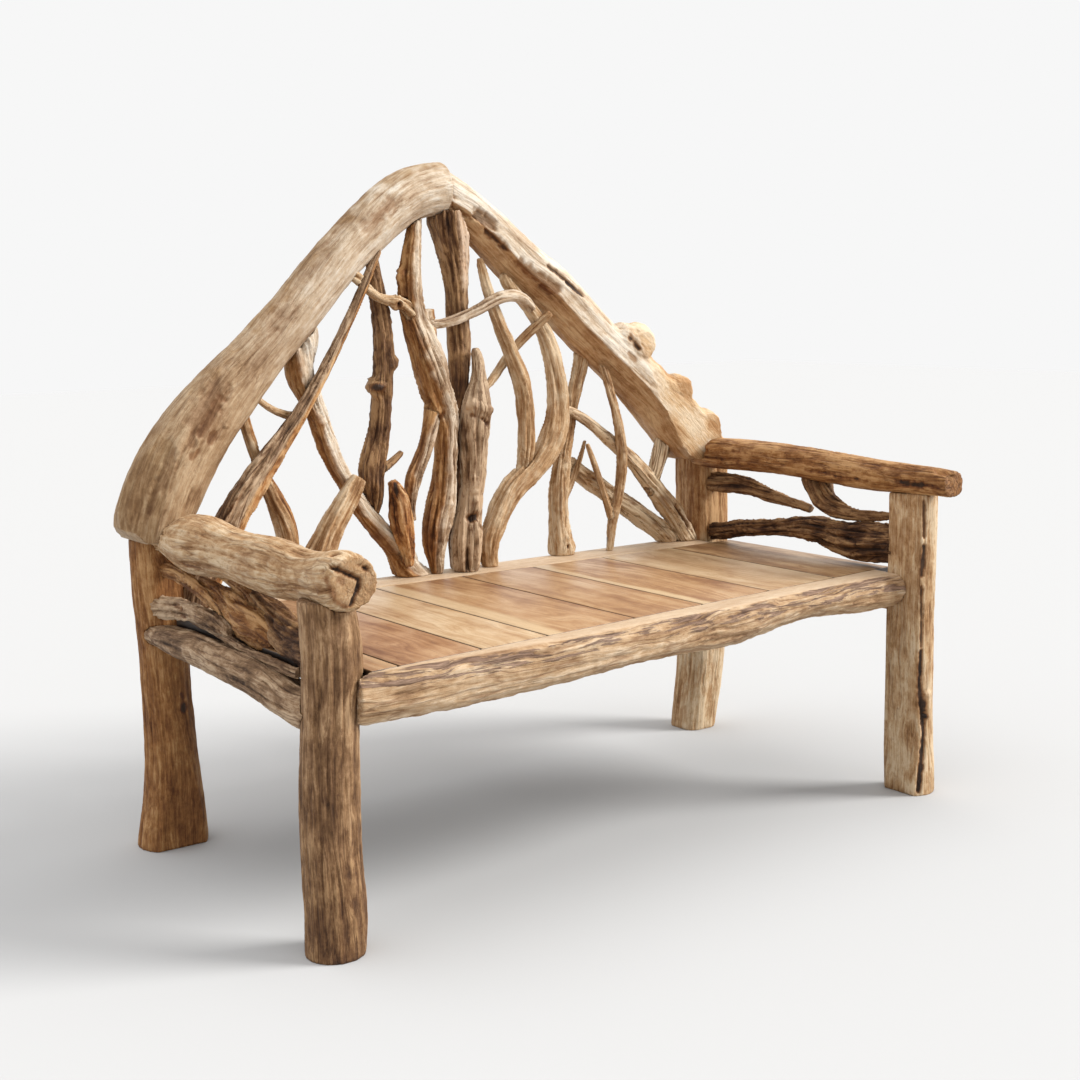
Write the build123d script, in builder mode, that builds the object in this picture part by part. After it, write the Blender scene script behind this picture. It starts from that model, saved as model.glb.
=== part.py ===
from build123d import *
import os
from math import cos, pi, sin

# Rustic garden bench built from teak roots and driftwood: four log posts, live-edge seat
# rails, eight seat boards, two log arms and a gabled back filled with sawn root branches.
# Millimetres. X runs along the seat, -Y is the front, +Z is up, and the origin lies on the
# ground under the middle of the bench.

# Driving dimensions
LENGTH = 1470
DEPTH = 800
SEAT_HEIGHT = 450
LEFT_POST_X = -662
RIGHT_POST_X = 662
FRONT_POST_Y = -296
REAR_POST_Y = 348
GABLE_Y = 331
APEX_X = -38
LEFT_GABLE_FOOT = 580
FOOT_BEVEL = 24
RIGHT_GABLE_FOOT = 640
SIDES = 12

# Seat
SLAT_THICKNESS = 24
SLAT_GAP = 3
SLAT_SEAMS = [-668, -562, -397, -254, -50, 125, 311, 508, 690]
SLAT_REAR_Y = 261
FRONT_NOTCH_X = -614
RABBET_WIDTH = 42
RABBET_REACH = 700
RAIL_DEPTH = 82
REAR_RAIL_WIDTH = 100
REAR_RAIL_HALF_LENGTH = 634
REAR_RAIL_ROUNDING = 8
LEDGER_LENGTH = 1200
LEDGER_WIDTH = 30
LEDGER_HEIGHT = 40
LIP_ROUNDING = 12
BELLY_HEIGHT = 422
BELLY_ROUNDING = 9
BELLY_FOOT = 14
BELLY_DEPTH = 34
RAIL_BACK_RISE = 22

# Joints and fasteners
TENON_RADIUS = 18
TENON_LENGTH = 32
TENON_PLAY = 0.2
DOWEL_RADIUS = 12
SCREW_RADIUS = 2.5
SCREW_HEAD_RADIUS = 5
SCREW_HEAD_HEIGHT = 4

ALONG_X = Vector(1, 0, 0)
ALONG_Y = Vector(0, 1, 0)


def slat_front(x):
    """Y of the oblique line where the seat boards meet the front rail."""
    return -229 + 0.0973 * (x - 507)


def limb(stations, side=ALONG_Y, square=2.0, flat=1.0):
    """Loft a log through (x, y, z, radius) stations.

    side is the direction across the log that its sections are lined up with. square is 2 for
    a round section and grows towards a rounded square. flat is the section's width along
    side, as a share of its width across."""
    with BuildPart() as piece:
        for i, (x, y, z, radius) in enumerate(stations):
            before = Vector(*stations[max(i - 1, 0)][:3])
            after = Vector(*stations[min(i + 1, len(stations) - 1)][:3])
            along = (after - before).normalized()
            across = (side - along * side.dot(along)).normalized()
            points = []
            for k in range(SIDES):
                c = cos(2 * pi * k / SIDES)
                s = sin(2 * pi * k / SIDES)
                reach = radius * (abs(c) ** square + abs(s) ** square) ** (-1 / square)
                points.append((flat * reach * c, reach * s))
            with BuildSketch(Plane(origin=(x, y, z), x_dir=across, z_dir=along)):
                with BuildLine():
                    Spline(*points, periodic=True)
                make_face()
        loft()
    return piece.part


def in_gable(stations, layer=0):
    """Turn (x, z, radius[, layer]) stations of a back branch into (x, y, z, radius)."""
    return [(s[0], GABLE_Y + (s[3] if len(s) > 3 else layer), s[1], s[2]) for s in stations]


def rod(start, end, radius):
    """Straight round rod from start to end."""
    with BuildPart() as piece:
        axis = Vector(*end) - Vector(*start)
        with BuildSketch(Plane(origin=start, z_dir=axis.normalized())):
            Circle(radius)
        extrude(amount=axis.length)
    return piece.part


def screw(start, end):
    """Countersunk wood screw with its head at start."""
    with BuildPart() as piece:
        axis = Vector(*end) - Vector(*start)
        with BuildSketch(Plane(origin=start, z_dir=axis.normalized())) as top:
            Circle(SCREW_HEAD_RADIUS)
        with BuildSketch(top.workplanes[0].offset(SCREW_HEAD_HEIGHT)):
            Circle(SCREW_RADIUS)
        loft()
        add(rod(start, end, SCREW_RADIUS))
    return piece.part


def near(a, b):
    """Whether the boxes of two shapes meet."""
    one, two = a.bounding_box(), b.bounding_box()
    low = (max(one.min.X, two.min.X), max(one.min.Y, two.min.Y), max(one.min.Z, two.min.Z))
    high = (min(one.max.X, two.max.X), min(one.max.Y, two.max.Y), min(one.max.Z, two.max.Z))
    return all(p < q for p, q in zip(low, high))


def scribe(shape, neighbours):
    """Cut a piece to fit against its neighbours and keep the main solid."""
    with BuildPart() as piece:
        add(shape)
        for other in neighbours:
            if near(shape, other):
                add(other, mode=Mode.SUBTRACT)
    return max(piece.part.solids(), key=lambda solid: solid.volume)


# ---------------------------------------------------------------- gable beams
LEFT_BEAM = [
    (-692, 520, 62), (-682, 590, 67), (-655, 655, 70), (-610, 730, 69), (-555, 800, 64),
    (-490, 867, 56), (-420, 935, 51), (-345, 1010, 49), (-265, 1092, 48), (-182, 1163, 51),
    (-110, 1206, 52), (-40, 1219, 52), (20, 1221, 51),
]
RIGHT_BEAM = [
    (-85, 1232, 42), (-38, 1209, 43), (15, 1183, 42), (82, 1133, 43), (150, 1075, 46),
    (230, 1020, 47), (318, 942, 47), (435, 850, 50), (522, 775, 56), (596, 705, 62),
    (650, 652, 60), (700, 600, 58),
]
# Burl knobs on the upper side of the right beam: (x, z, radius)
BURLS = [(412, 914, 36), (450, 902, 44), (567, 792, 42), (638, 698, 54)]
BURL_FORWARD = 14

with BuildPart() as left_gable_beam:
    add(limb(in_gable(LEFT_BEAM), flat=0.94))
    split(bisect_by=Plane(origin=(APEX_X, 0, 0), z_dir=(-1, 0, 0)), keep=Keep.TOP)
    split(bisect_by=Plane.XY.offset(LEFT_GABLE_FOOT), keep=Keep.TOP)
    split(bisect_by=Plane.YZ.offset(-LENGTH / 2), keep=Keep.TOP)
    split(bisect_by=Plane(origin=(-LENGTH / 2, 0, LEFT_GABLE_FOOT + FOOT_BEVEL), z_dir=(1, 0, 1)),
          keep=Keep.TOP)

with BuildPart() as right_gable_beam:
    add(limb(in_gable(RIGHT_BEAM), square=3.4, flat=0.96))
    for x, z, radius in BURLS:
        with Locations((x, GABLE_Y - BURL_FORWARD, z)):
            Sphere(radius)
    split(bisect_by=Plane.YZ.offset(APEX_X), keep=Keep.TOP)
    split(bisect_by=Plane.XY.offset(RIGHT_GABLE_FOOT), keep=Keep.TOP)
    split(bisect_by=Plane(origin=(LENGTH / 2, 0, 0), z_dir=(-1, 0, 0)), keep=Keep.TOP)

# ---------------------------------------------------------------- posts
# Centre line and radius of each post: (x, z, radius)
FRONT_LEFT_POST = [
    (-663, -25, 46), (-665, 50, 49), (-667, 125, 48), (-670, 200, 47), (-668, 275, 46),
    (-665, 350, 45), (-661, 425, 46), (-660, 500, 46), (-661, 590, 46),
]
FRONT_RIGHT_POST = [
    (668, -25, 49), (665, 60, 50), (660, 150, 49), (658, 240, 48), (657, 330, 48),
    (658, 420, 48), (660, 530, 48), (660, 640, 47),
]
REAR_LEFT_POST = [
    (-655, -30, 68), (-653, 40, 61), (-650, 110, 53), (-651, 180, 48), (-653, 250, 46),
    (-655, 330, 45), (-657, 420, 47), (-660, 500, 49), (-663, 610, 50),
]
REAR_RIGHT_POST = [
    (652, -30, 44), (662, 60, 45), (675, 150, 47), (679, 240, 49), (679, 340, 51),
    (678, 440, 52), (677, 550, 52), (677, 660, 52),
]
LEFT_ARM_SEAT = 562
RIGHT_ARM_SEAT = 616
FRONT_RIGHT_FLAT_X = 636
REAR_LEFT_FLAT_Y = 303


def post(stations, y, top, square=2.0):
    """Upright log through (x, z, radius) stations, sawn level at the ground and at the top."""
    with BuildPart() as piece:
        add(limb([(x, y, z, r) for x, z, r in stations], side=ALONG_X, square=square))
        split(bisect_by=Plane.XY, keep=Keep.TOP)
        split(bisect_by=Plane.XY.offset(top), keep=Keep.BOTTOM)
    return piece.part


with BuildPart() as rear_left_log:
    add(post(REAR_LEFT_POST, REAR_POST_Y, LEFT_GABLE_FOOT))
    split(bisect_by=Plane(origin=(0, REAR_LEFT_FLAT_Y, 0), z_dir=(0, 1, 0)), keep=Keep.TOP)
    split(bisect_by=Plane(origin=(0, DEPTH / 2, 0), z_dir=(0, -1, 0)), keep=Keep.TOP)

with BuildPart() as rear_right_log:
    add(post(REAR_RIGHT_POST, REAR_POST_Y, RIGHT_GABLE_FOOT, square=4))
    split(bisect_by=Plane(origin=(0, DEPTH / 2, 0), z_dir=(0, -1, 0)), keep=Keep.TOP)

# ---------------------------------------------------------------- arms
LEFT_ARM = [
    (-655, 320, 586, 44), (-655, 210, 586, 48), (-655, 90, 588, 47), (-655, -60, 586, 45),
    (-655, -195, 584, 42), (-655, -300, 590, 44), (-655, -352, 594, 44), (-655, -364, 594, 39),
]
RIGHT_ARM = [
    (655, 320, 652, 34), (655, 220, 652, 34), (655, 120, 654, 33), (655, -55, 648, 32),
    (655, -245, 640, 30), (655, -350, 640, 27), (655, -410, 637, 24),
]

left_arm = scribe(limb(LEFT_ARM, side=ALONG_X), [left_gable_beam.part, rear_left_log.part])

with BuildPart() as right_arm_log:
    add(limb(RIGHT_ARM, side=ALONG_X, square=2.6, flat=1.15))
    split(bisect_by=Plane(origin=(0, -DEPTH / 2, 0), z_dir=(0, 1, 0)), keep=Keep.TOP)

right_arm = scribe(right_arm_log.part, [right_gable_beam.part, rear_right_log.part])

# ---------------------------------------------------------------- front posts under the arms
front_left_log = scribe(post(FRONT_LEFT_POST, FRONT_POST_Y, LEFT_ARM_SEAT), [left_arm])

with BuildPart() as front_right_log:
    add(scribe(post(FRONT_RIGHT_POST, FRONT_POST_Y, RIGHT_ARM_SEAT), [right_arm]))
    split(bisect_by=Plane.YZ.offset(FRONT_RIGHT_FLAT_X), keep=Keep.TOP)

logs = [front_left_log, front_right_log.part, rear_left_log.part, rear_right_log.part]

# ---------------------------------------------------------------- seat rails
# Front rail sections: (x, lip y, lip z, belly y, bottom z). The lip is the outer edge of the
# sawn top and the belly is the live edge, which bulges forward below it.
FRONT_RAIL = [
    (-640, -345, 440, -353, 366), (-540, -350, 444, -357, 363), (-400, -349, 444, -357, 364),
    (-228, -345, 445, -353, 370), (-74, -335, 444, -345, 376), (76, -325, 445, -333, 374),
    (201, -318, 446, -328, 376), (330, -298, 447, -310, 388), (409, -294, 446, -306, 390),
    (553, -288, 446, -302, 382), (640, -290, 445, -304, 384),
]
LEFT_RAIL = [
    (-680, 320, 405, 17), (-680, 290, 406, 22), (-680, 215, 408, 27), (-680, 90, 409, 30),
    (-680, -90, 403, 32), (-678, -220, 387, 33), (-676, -300, 384, 32),
]
RIGHT_RAIL = [
    (680, 320, 398, 26), (680, 150, 396, 30), (680, -50, 394, 31), (678, -200, 392, 29),
    (676, -300, 392, 27),
]
FRONT_TENONS = [((-600, -304, 404), (-650, -304, 404)), ((600, -277, 412), (656, -277, 412))]
REAR_TENONS = [((-590, 335, 405), (-642, 335, 405)), ((600, 340, 405), (655, 340, 405))]
LEFT_TENONS = [((-682, 280, 405), (-682, 331, 405)), ((-672, -240, 385), (-672, -279, 385))]
RIGHT_TENONS = [((682, 270, 400), (682, 329, 400)), ((680, -220, 392), (680, -276, 392))]

with BuildPart() as front_rail_log:
    for x, lip_y, lip_z, belly_y, bottom_z in FRONT_RAIL:
        back_y = slat_front(x) + RABBET_WIDTH
        with BuildSketch(Plane(origin=(x, 0, 0), x_dir=(0, 1, 0), z_dir=(1, 0, 0))):
            with BuildLine():
                back_foot = (back_y, bottom_z + RAIL_BACK_RISE)
                lip = (lip_y + LIP_ROUNDING, SEAT_HEIGHT)
                Polyline(back_foot, (back_y, SEAT_HEIGHT), lip)
                Spline(lip, (lip_y, lip_z), (belly_y, BELLY_HEIGHT),
                       (belly_y + BELLY_ROUNDING, bottom_z + BELLY_FOOT),
                       (belly_y + BELLY_DEPTH, bottom_z), back_foot)
            make_face()
    loft()

with BuildPart() as rabbet:
    with BuildSketch(Plane.XY.offset(SEAT_HEIGHT - SLAT_THICKNESS)):
        with BuildLine():
            Polyline((-RABBET_REACH, slat_front(-RABBET_REACH)),
                     (RABBET_REACH, slat_front(RABBET_REACH)), (RABBET_REACH, 0),
                     (-RABBET_REACH, 0), close=True)
        make_face()
    extrude(amount=SLAT_THICKNESS)

front_rail_body = scribe(front_rail_log.part, [rabbet.part] + logs)

with BuildPart() as front_seat_rail:
    add(front_rail_body)
    for start, end in FRONT_TENONS:
        add(rod(start, end, TENON_RADIUS))

with BuildPart() as rear_rail_board:
    with BuildSketch(Plane.YZ) as section:
        with Locations((SLAT_REAR_Y + REAR_RAIL_WIDTH / 2, SEAT_HEIGHT - RAIL_DEPTH / 2)):
            RectangleRounded(REAR_RAIL_WIDTH, RAIL_DEPTH, REAR_RAIL_ROUNDING)
    extrude(amount=REAR_RAIL_HALF_LENGTH, both=True)

rear_rail_body = scribe(rear_rail_board.part, logs)

with BuildPart() as rear_seat_rail:
    add(rear_rail_body)
    for start, end in REAR_TENONS:
        add(rod(start, end, TENON_RADIUS))

# The side rails are sawn level where the end boards rest on them.
with BuildPart() as board_bed:
    with Locations((SLAT_SEAMS[0], 0, SEAT_HEIGHT - SLAT_THICKNESS)):
        Box(SLAT_SEAMS[-1] - SLAT_SEAMS[0], DEPTH, SLAT_THICKNESS,
            align=(Align.MIN, Align.CENTER, Align.MIN))

left_rail_body = scribe(limb(LEFT_RAIL, side=ALONG_X), [board_bed.part] + logs)
right_rail_body = scribe(limb(RIGHT_RAIL, side=ALONG_X), [board_bed.part] + logs)

with BuildPart() as left_side_rail:
    add(left_rail_body)
    for start, end in LEFT_TENONS:
        add(rod(start, end, TENON_RADIUS))

with BuildPart() as right_side_rail:
    add(right_rail_body)
    for start, end in RIGHT_TENONS:
        add(rod(start, end, TENON_RADIUS))

# ---------------------------------------------------------------- seat boards
# The first board is notched round the left post and doesn't pass in front of it.
with BuildPart() as post_notch:
    with Locations((FRONT_NOTCH_X, FRONT_POST_Y, 0)):
        Box(LENGTH, DEPTH, SEAT_HEIGHT, align=(Align.MAX, Align.MAX, Align.MIN))

slats = []
for left, right in zip(SLAT_SEAMS, SLAT_SEAMS[1:]):
    with BuildPart() as board:
        with BuildSketch(Plane.XY.offset(SEAT_HEIGHT - SLAT_THICKNESS)):
            with BuildLine():
                low, high = left + SLAT_GAP / 2, right - SLAT_GAP / 2
                Polyline((low, slat_front(low)), (high, slat_front(high)), (high, SLAT_REAR_Y),
                         (low, SLAT_REAR_Y), close=True)
            make_face()
        extrude(amount=SLAT_THICKNESS)
    slats.append(scribe(board.part, [post_notch.part] + logs))

with BuildPart() as ledger_board:
    with Locations((0, SLAT_REAR_Y, SEAT_HEIGHT - SLAT_THICKNESS)):
        Box(LEDGER_LENGTH, LEDGER_WIDTH, LEDGER_HEIGHT, align=(Align.CENTER, Align.MAX, Align.MAX))

# ---------------------------------------------------------------- back branches
# Every branch is a list of runs. A run is a list of (x, z, radius) stations in the plane of
# the gable, moved by the branch's layer, or (x, z, radius, layer). Negative layers are
# nearer to the sitter. Branches that come first stay whole and later ones are cut to them.
BRANCHES = {
    "back_branch_02": (-25, [[
        (-606, 440, 28), (-580, 512, 29), (-547, 575, 29), (-508, 636, 28), (-465, 692, 25),
        (-420, 746, 19), (-375, 802, 14), (-335, 858, 12), (-299, 915, 11), (-264, 975, 10),
        (-230, 1038, 9), (-198, 1100, 7),
    ]]),
    "back_branch_04": (-28, [[
        (-382, 440, 26), (-345, 530, 25), (-315, 580, 22), (-280, 630, 20), (-258, 662, 15),
    ]]),
    "back_branch_18": (-20, [[
        (-275, 1055, 12), (-225, 1028, 10), (-190, 1006, 10), (-160, 1000, 12), (-125, 972, 12),
    ]]),
    "back_branch_03": (6, [[
        (-366, 965, 26), (-360, 890, 26), (-345, 828, 22), (-320, 770, 19), (-300, 710, 19),
        (-268, 650, 18), (-225, 585, 19), (-185, 540, 21), (-145, 490, 25), (-95, 440, 25),
    ]]),
    "back_branch_01": (8, [[
        (-495, 825, 10), (-465, 735, 11), (-430, 645, 17), (-404, 585, 21), (-396, 535, 21),
        (-404, 485, 18), (-410, 440, 16),
    ]]),
    "back_branch_19": (0, [[(-478, 845, 6), (-440, 812, 6), (-412, 796, 7), (-378, 788, 9)]]),
    "back_branch_10": (-26, [[
        (-85, 962, 8, -12), (-60, 955, 9, -15), (-15, 965, 10, -18), (30, 981, 11, -20),
        (80, 1003, 12, -26), (135, 1005, 11, -26), (168, 980, 10, -24),
    ]]),
    "back_branch_11": (-5, [[
        (50, 1085, 6), (60, 1050, 10), (77, 1000, 12), (98, 950, 14), (122, 900, 15),
        (145, 850, 17), (159, 795, 18), (161, 740, 18), (160, 690, 17), (148, 640, 14),
        (130, 600, 12),
    ]]),
    "back_branch_12": (-10, [[
        (110, 1060, 12), (145, 1005, 12), (177, 975, 14), (205, 935, 16), (226, 885, 18),
        (238, 830, 20), (241, 780, 21), (235, 735, 24), (213, 688, 26), (172, 645, 25),
        (120, 605, 26), (88, 562, 25), (68, 520, 22), (60, 480, 19), (60, 438, 16),
    ]]),
    "back_branch_13": (0, [[
        (208, 973, 8, -34), (178, 940, 10, -12), (148, 900, 9, 14), (110, 858, 9, 16),
        (68, 822, 7, 6),
    ]]),
    "back_branch_09": (-22, [[
        (24, 905, 6), (30, 870, 12), (30, 835, 17), (25, 798, 26), (20, 750, 28),
        (17, 705, 26), (14, 655, 24), (8, 600, 23), (0, 550, 28), (-6, 500, 31),
        (-10, 440, 27),
    ]]),
    "back_branch_07": (-10, [
        [(-100, 1210, 14), (-108, 1140, 14), (-117, 1080, 20), (-121, 1030, 22),
         (-116, 980, 24), (-98, 930, 28), (-76, 870, 31), (-58, 810, 29), (-40, 755, 23),
         (-42, 700, 22), (-48, 645, 25), (-58, 590, 28), (-72, 540, 27), (-76, 490, 19),
         (-75, 438, 15)],
        [(-58, 800, 15), (-82, 745, 14), (-100, 695, 15), (-122, 650, 17), (-130, 610, 12),
         (-130, 565, 9)],
        [(-78, 900, 16), (-76, 945, 14), (-76, 985, 10)],
    ]),
    "back_branch_08": (15, [[
        (-22, 1195, 30, 0), (-20, 1150, 40, 0), (-8, 1105, 33, 6), (3, 1045, 25, 12),
        (7, 985, 22), (10, 925, 23), (9, 860, 21), (6, 795, 20), (5, 730, 20), (3, 660, 20),
        (0, 590, 21), (0, 515, 21), (0, 438, 21),
    ]]),
    "back_branch_06": (-25, [[
        (-182, 650, 9), (-166, 605, 20), (-160, 560, 22), (-152, 515, 16), (-145, 475, 10),
    ]]),
    "back_branch_05": (6, [
        [(-208, 1130, 13), (-193, 1065, 14), (-182, 1000, 17), (-175, 940, 19),
         (-175, 880, 20), (-180, 815, 20), (-188, 750, 21), (-203, 690, 25), (-208, 640, 24),
         (-212, 585, 15)],
        [(-200, 665, 11), (-165, 682, 9), (-138, 702, 7)],
    ]),
    "back_branch_17": (-20, [
        [(350, 870, 10, -20), (370, 815, 10, -23), (386, 760, 10, -26), (397, 710, 11, -28),
         (406, 660, 12, -24), (410, 610, 12, -16), (403, 560, 12, -10), (388, 510, 11, -10),
         (376, 438, 10, -10)],
        [(386, 525, 9, -10), (362, 590, 8, -10), (338, 650, 7, -10), (320, 690, 5, -10)],
    ]),
    "back_branch_15": (-4, [
        [(240, 790, 10), (290, 758, 10), (340, 728, 11), (390, 692, 13), (443, 652, 16),
         (493, 602, 19), (540, 550, 22), (583, 498, 24), (628, 438, 24)],
        [(500, 575, 15), (527, 640, 18), (545, 700, 19), (560, 760, 19)],
    ]),
    "back_branch_14": (17, [
        [(334, 935, 18), (330, 880, 18), (315, 828, 16), (301, 775, 15), (290, 718, 14),
         (275, 660, 18), (265, 605, 20), (261, 550, 19), (264, 495, 23), (265, 438, 27)],
        [(262, 550, 10), (290, 595, 9), (314, 640, 7), (335, 695, 4)],
    ]),
    "back_branch_16": (30, [[
        (308, 648, 15, 38), (345, 615, 19, 38), (395, 582, 21, 34), (450, 545, 22, 30),
        (508, 505, 23, 20), (580, 438, 22, 10),
    ]]),
}

beams = [left_gable_beam.part, right_gable_beam.part]
branches = {}
for name, (layer, runs) in BRANCHES.items():
    with BuildPart() as branch:
        for run in runs:
            add(limb(in_gable(run, layer)))
        split(bisect_by=Plane.XY.offset(SEAT_HEIGHT), keep=Keep.TOP)
    branches[name] = scribe(branch.part, beams + logs + list(branches.values()))

# ---------------------------------------------------------------- roots under the arms
# Runs of (x, y, z, radius) stations. Later roots are cut to the earlier ones.
ARM_ROOTS = {
    "left_arm_root_2": (0.9, [
        [(-676, 345, 456, 19), (-676, 280, 461, 20), (-676, 215, 468, 19), (-676, 150, 471, 17),
         (-676, 85, 468, 16), (-676, 20, 455, 11)],
        [(-680, 160, 456, 5), (-680, 95, 454, 6), (-680, 30, 450, 8), (-680, -35, 441, 8),
         (-680, -100, 437, 9), (-680, -165, 436, 9), (-680, -230, 437, 9)],
    ]),
    "left_arm_root_1": (0.7, [
        [(-665, 365, 527, 14), (-665, 302, 527, 15), (-665, 236, 524, 14), (-665, 173, 513, 13),
         (-665, 115, 500, 13), (-665, 68, 481, 13), (-665, 25, 452, 12)],
        [(-655, 170, 524, 9), (-655, 112, 515, 14), (-655, 54, 497, 25), (-655, -4, 480, 36),
         (-655, -60, 472, 33), (-655, -112, 455, 16)],
        [(-648, 155, 549, 7), (-648, 100, 543, 9), (-648, 46, 535, 11), (-648, -5, 520, 12),
         (-648, -50, 494, 10)],
    ]),
    "left_arm_root_3": (0.9, [[
        (-640, 45, 545, 12), (-640, -20, 515, 18), (-640, -78, 490, 26), (-642, -135, 470, 30),
        (-645, -200, 460, 33), (-650, -270, 457, 34),
    ]]),
    "right_arm_root_2": (0.7, [[
        (664, 330, 462, 15), (664, 264, 475, 19), (664, 200, 486, 19), (664, 136, 494, 18),
        (664, 69, 502, 19), (664, 2, 509, 25), (664, -65, 506, 31), (664, -130, 499, 39),
        (664, -195, 500, 43), (664, -260, 503, 45),
    ]]),
    "right_arm_root_1": (0.9, [[
        (664, 330, 584, 21), (664, 255, 584, 21), (664, 180, 582, 18), (664, 110, 570, 14),
        (664, 45, 560, 11), (664, -15, 550, 9),
    ]]),
    "right_arm_root_3": (0.6, [[
        (664, -28, 652, 34), (664, -34, 606, 32), (664, -60, 573, 26), (664, -104, 557, 18),
        (664, -158, 553, 12), (664, -212, 556, 10), (664, -266, 560, 9),
    ]]),
}
roots = {}
for name, (flat, runs) in ARM_ROOTS.items():
    with BuildPart() as root:
        for run in runs:
            add(limb(run, side=ALONG_X, flat=flat))
    hosts = [left_arm, right_arm, left_rail_body, right_rail_body] + beams + logs + slats
    roots[name] = scribe(root.part, hosts + list(roots.values()))

# ---------------------------------------------------------------- dowels, pegs and screws
ARM_DOWELS = [
    ((-660, -296, 520), (-660, -296, 592)), ((660, -296, 572), (660, -296, 640)),
    ((-655, 225, 588), (-655, 315, 588)), ((655, 235, 654), (655, 325, 654)),
]
GABLE_DOWELS = [
    ((-82, GABLE_Y, 1215), (6, GABLE_Y, 1215)), ((-676, 340, 530), (-676, 340, 625)),
    ((680, 345, 595), (680, 345, 685)),
]
RAIL_PEGS = [
    ((-633, -264, 404), (-633, -328, 404)), ((647, -256, 412), (647, -305, 412)),
    ((-628, 380, 405), (-628, 318, 405)), ((640, 390, 405), (640, 320, 405)),
]
PEG_RADIUS = 5
# Feet of the back branches that are screwed up through the rear rail: (x, layer)
BRANCH_FEET = [
    (-600, -25), (-408, 8), (-374, -28), (-118, 6), (-75, -10), (0, 15), (-10, -22),
    (60, -10), (265, 17), (376, -10), (553, 12), (606, -4),
]
FOOT_SCREW_BASE = 400
FOOT_SCREW_TIP = 480
SLAT_SCREW_INSET = 28
SLAT_SCREW_BASE = 403
SLAT_SCREW_TIP = 441
LEDGER_SCREW_X = [-500, -320, -140, 40, 220, 400]
LEDGER_SCREW_Z = 400
HEAD_WELL_RADIUS = 7
UNDERSIDE = 340

rear_slat_screws, front_slat_screws = [], []
for left, right in zip(SLAT_SEAMS, SLAT_SEAMS[1:]):
    for x in (left + SLAT_SCREW_INSET, right - SLAT_SCREW_INSET):
        rear_y = SLAT_REAR_Y - LEDGER_WIDTH / 2
        front_y = slat_front(x) + RABBET_WIDTH / 2
        ledger_base = SEAT_HEIGHT - SLAT_THICKNESS - LEDGER_HEIGHT
        if abs(x) < LEDGER_LENGTH / 2:
            rear_slat_screws.append(((x, rear_y, ledger_base), (x, rear_y, SLAT_SCREW_TIP)))
            front_slat_screws.append(((x, front_y, SLAT_SCREW_BASE), (x, front_y, SLAT_SCREW_TIP)))
ledger_front, ledger_tip = SLAT_REAR_Y - LEDGER_WIDTH, SLAT_REAR_Y + LEDGER_WIDTH
ledger_lines = [
    ((x, ledger_front, LEDGER_SCREW_Z), (x, ledger_tip, LEDGER_SCREW_Z)) for x in LEDGER_SCREW_X
]
foot_lines = [
    ((x, GABLE_Y + layer, FOOT_SCREW_BASE), (x, GABLE_Y + layer, FOOT_SCREW_TIP))
    for x, layer in BRANCH_FEET
]


def wells(lines):
    """Holes that lead from the underside up to the heads of vertical screws."""
    return [((start[0], start[1], UNDERSIDE), start) for start, _ in lines]


def all_rods(lines, radius):
    """Round rods along every (start, end) pair, as one piece of loose solids."""
    with BuildPart() as piece:
        for start, end in lines:
            add(rod(start, end, radius))
    return piece.part


def all_screws(lines):
    """Screws along every (start, end) pair, as one piece of loose solids."""
    with BuildPart() as piece:
        for start, end in lines:
            add(screw(start, end))
    return piece.part


arm_dowels = all_rods(ARM_DOWELS, DOWEL_RADIUS)
gable_dowels = all_rods(GABLE_DOWELS, DOWEL_RADIUS)
rail_pegs = all_rods(RAIL_PEGS, PEG_RADIUS)
slat_screws = all_screws(rear_slat_screws + front_slat_screws)
ledger_screws = all_screws(ledger_lines)
branch_screws = all_screws(foot_lines)


def drill(shape, lines, radius):
    """Round holes along the (start, end) pairs that reach the shape."""
    with BuildPart() as piece:
        add(shape)
        for line in lines:
            hole = rod(*line, radius)
            if near(shape, hole):
                add(hole, mode=Mode.SUBTRACT)
    return piece.part


def fasten(shape, fasteners):
    """Cut the holes that dowels, pegs and screws fill."""
    with BuildPart() as piece:
        add(shape)
        for fastener in fasteners:
            for solid in fastener.solids():
                if near(shape, solid):
                    add(solid, mode=Mode.SUBTRACT)
    return piece.part


tenons = FRONT_TENONS + REAR_TENONS + LEFT_TENONS + RIGHT_TENONS
post_names = ["front_left_post", "front_right_post", "rear_left_post", "rear_right_post"]
pieces = {}
for name, log in zip(post_names, logs):
    mortised = drill(log, tenons, TENON_RADIUS + TENON_PLAY)
    pieces[name] = fasten(mortised, [arm_dowels, gable_dowels, rail_pegs])
pieces["left_gable_beam"] = fasten(left_gable_beam.part, [arm_dowels, gable_dowels])
pieces["right_gable_beam"] = fasten(right_gable_beam.part, [arm_dowels, gable_dowels])
pieces["left_arm"] = fasten(left_arm, [arm_dowels])
pieces["right_arm"] = fasten(right_arm, [arm_dowels])
front_drilled = drill(front_seat_rail.part, wells(front_slat_screws), HEAD_WELL_RADIUS)
pieces["front_seat_rail"] = fasten(front_drilled, [slat_screws, rail_pegs])
rear_drilled = drill(rear_seat_rail.part, wells(foot_lines), HEAD_WELL_RADIUS)
pieces["rear_seat_rail"] = fasten(rear_drilled, [branch_screws, ledger_screws, rail_pegs])
pieces["left_side_rail"] = left_side_rail.part
pieces["right_side_rail"] = right_side_rail.part
pieces["rear_seat_ledger"] = fasten(ledger_board.part, [slat_screws, ledger_screws])
for number, slat in enumerate(slats, start=1):
    pieces[f"seat_slat_{number}"] = fasten(slat, [slat_screws])
for name, branch in branches.items():
    pieces[name] = fasten(branch, [branch_screws])
pieces.update(roots)
pieces["arm_dowels"] = arm_dowels
pieces["gable_dowels"] = gable_dowels
pieces["rail_pegs"] = rail_pegs
pieces["slat_screws"] = slat_screws
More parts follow.
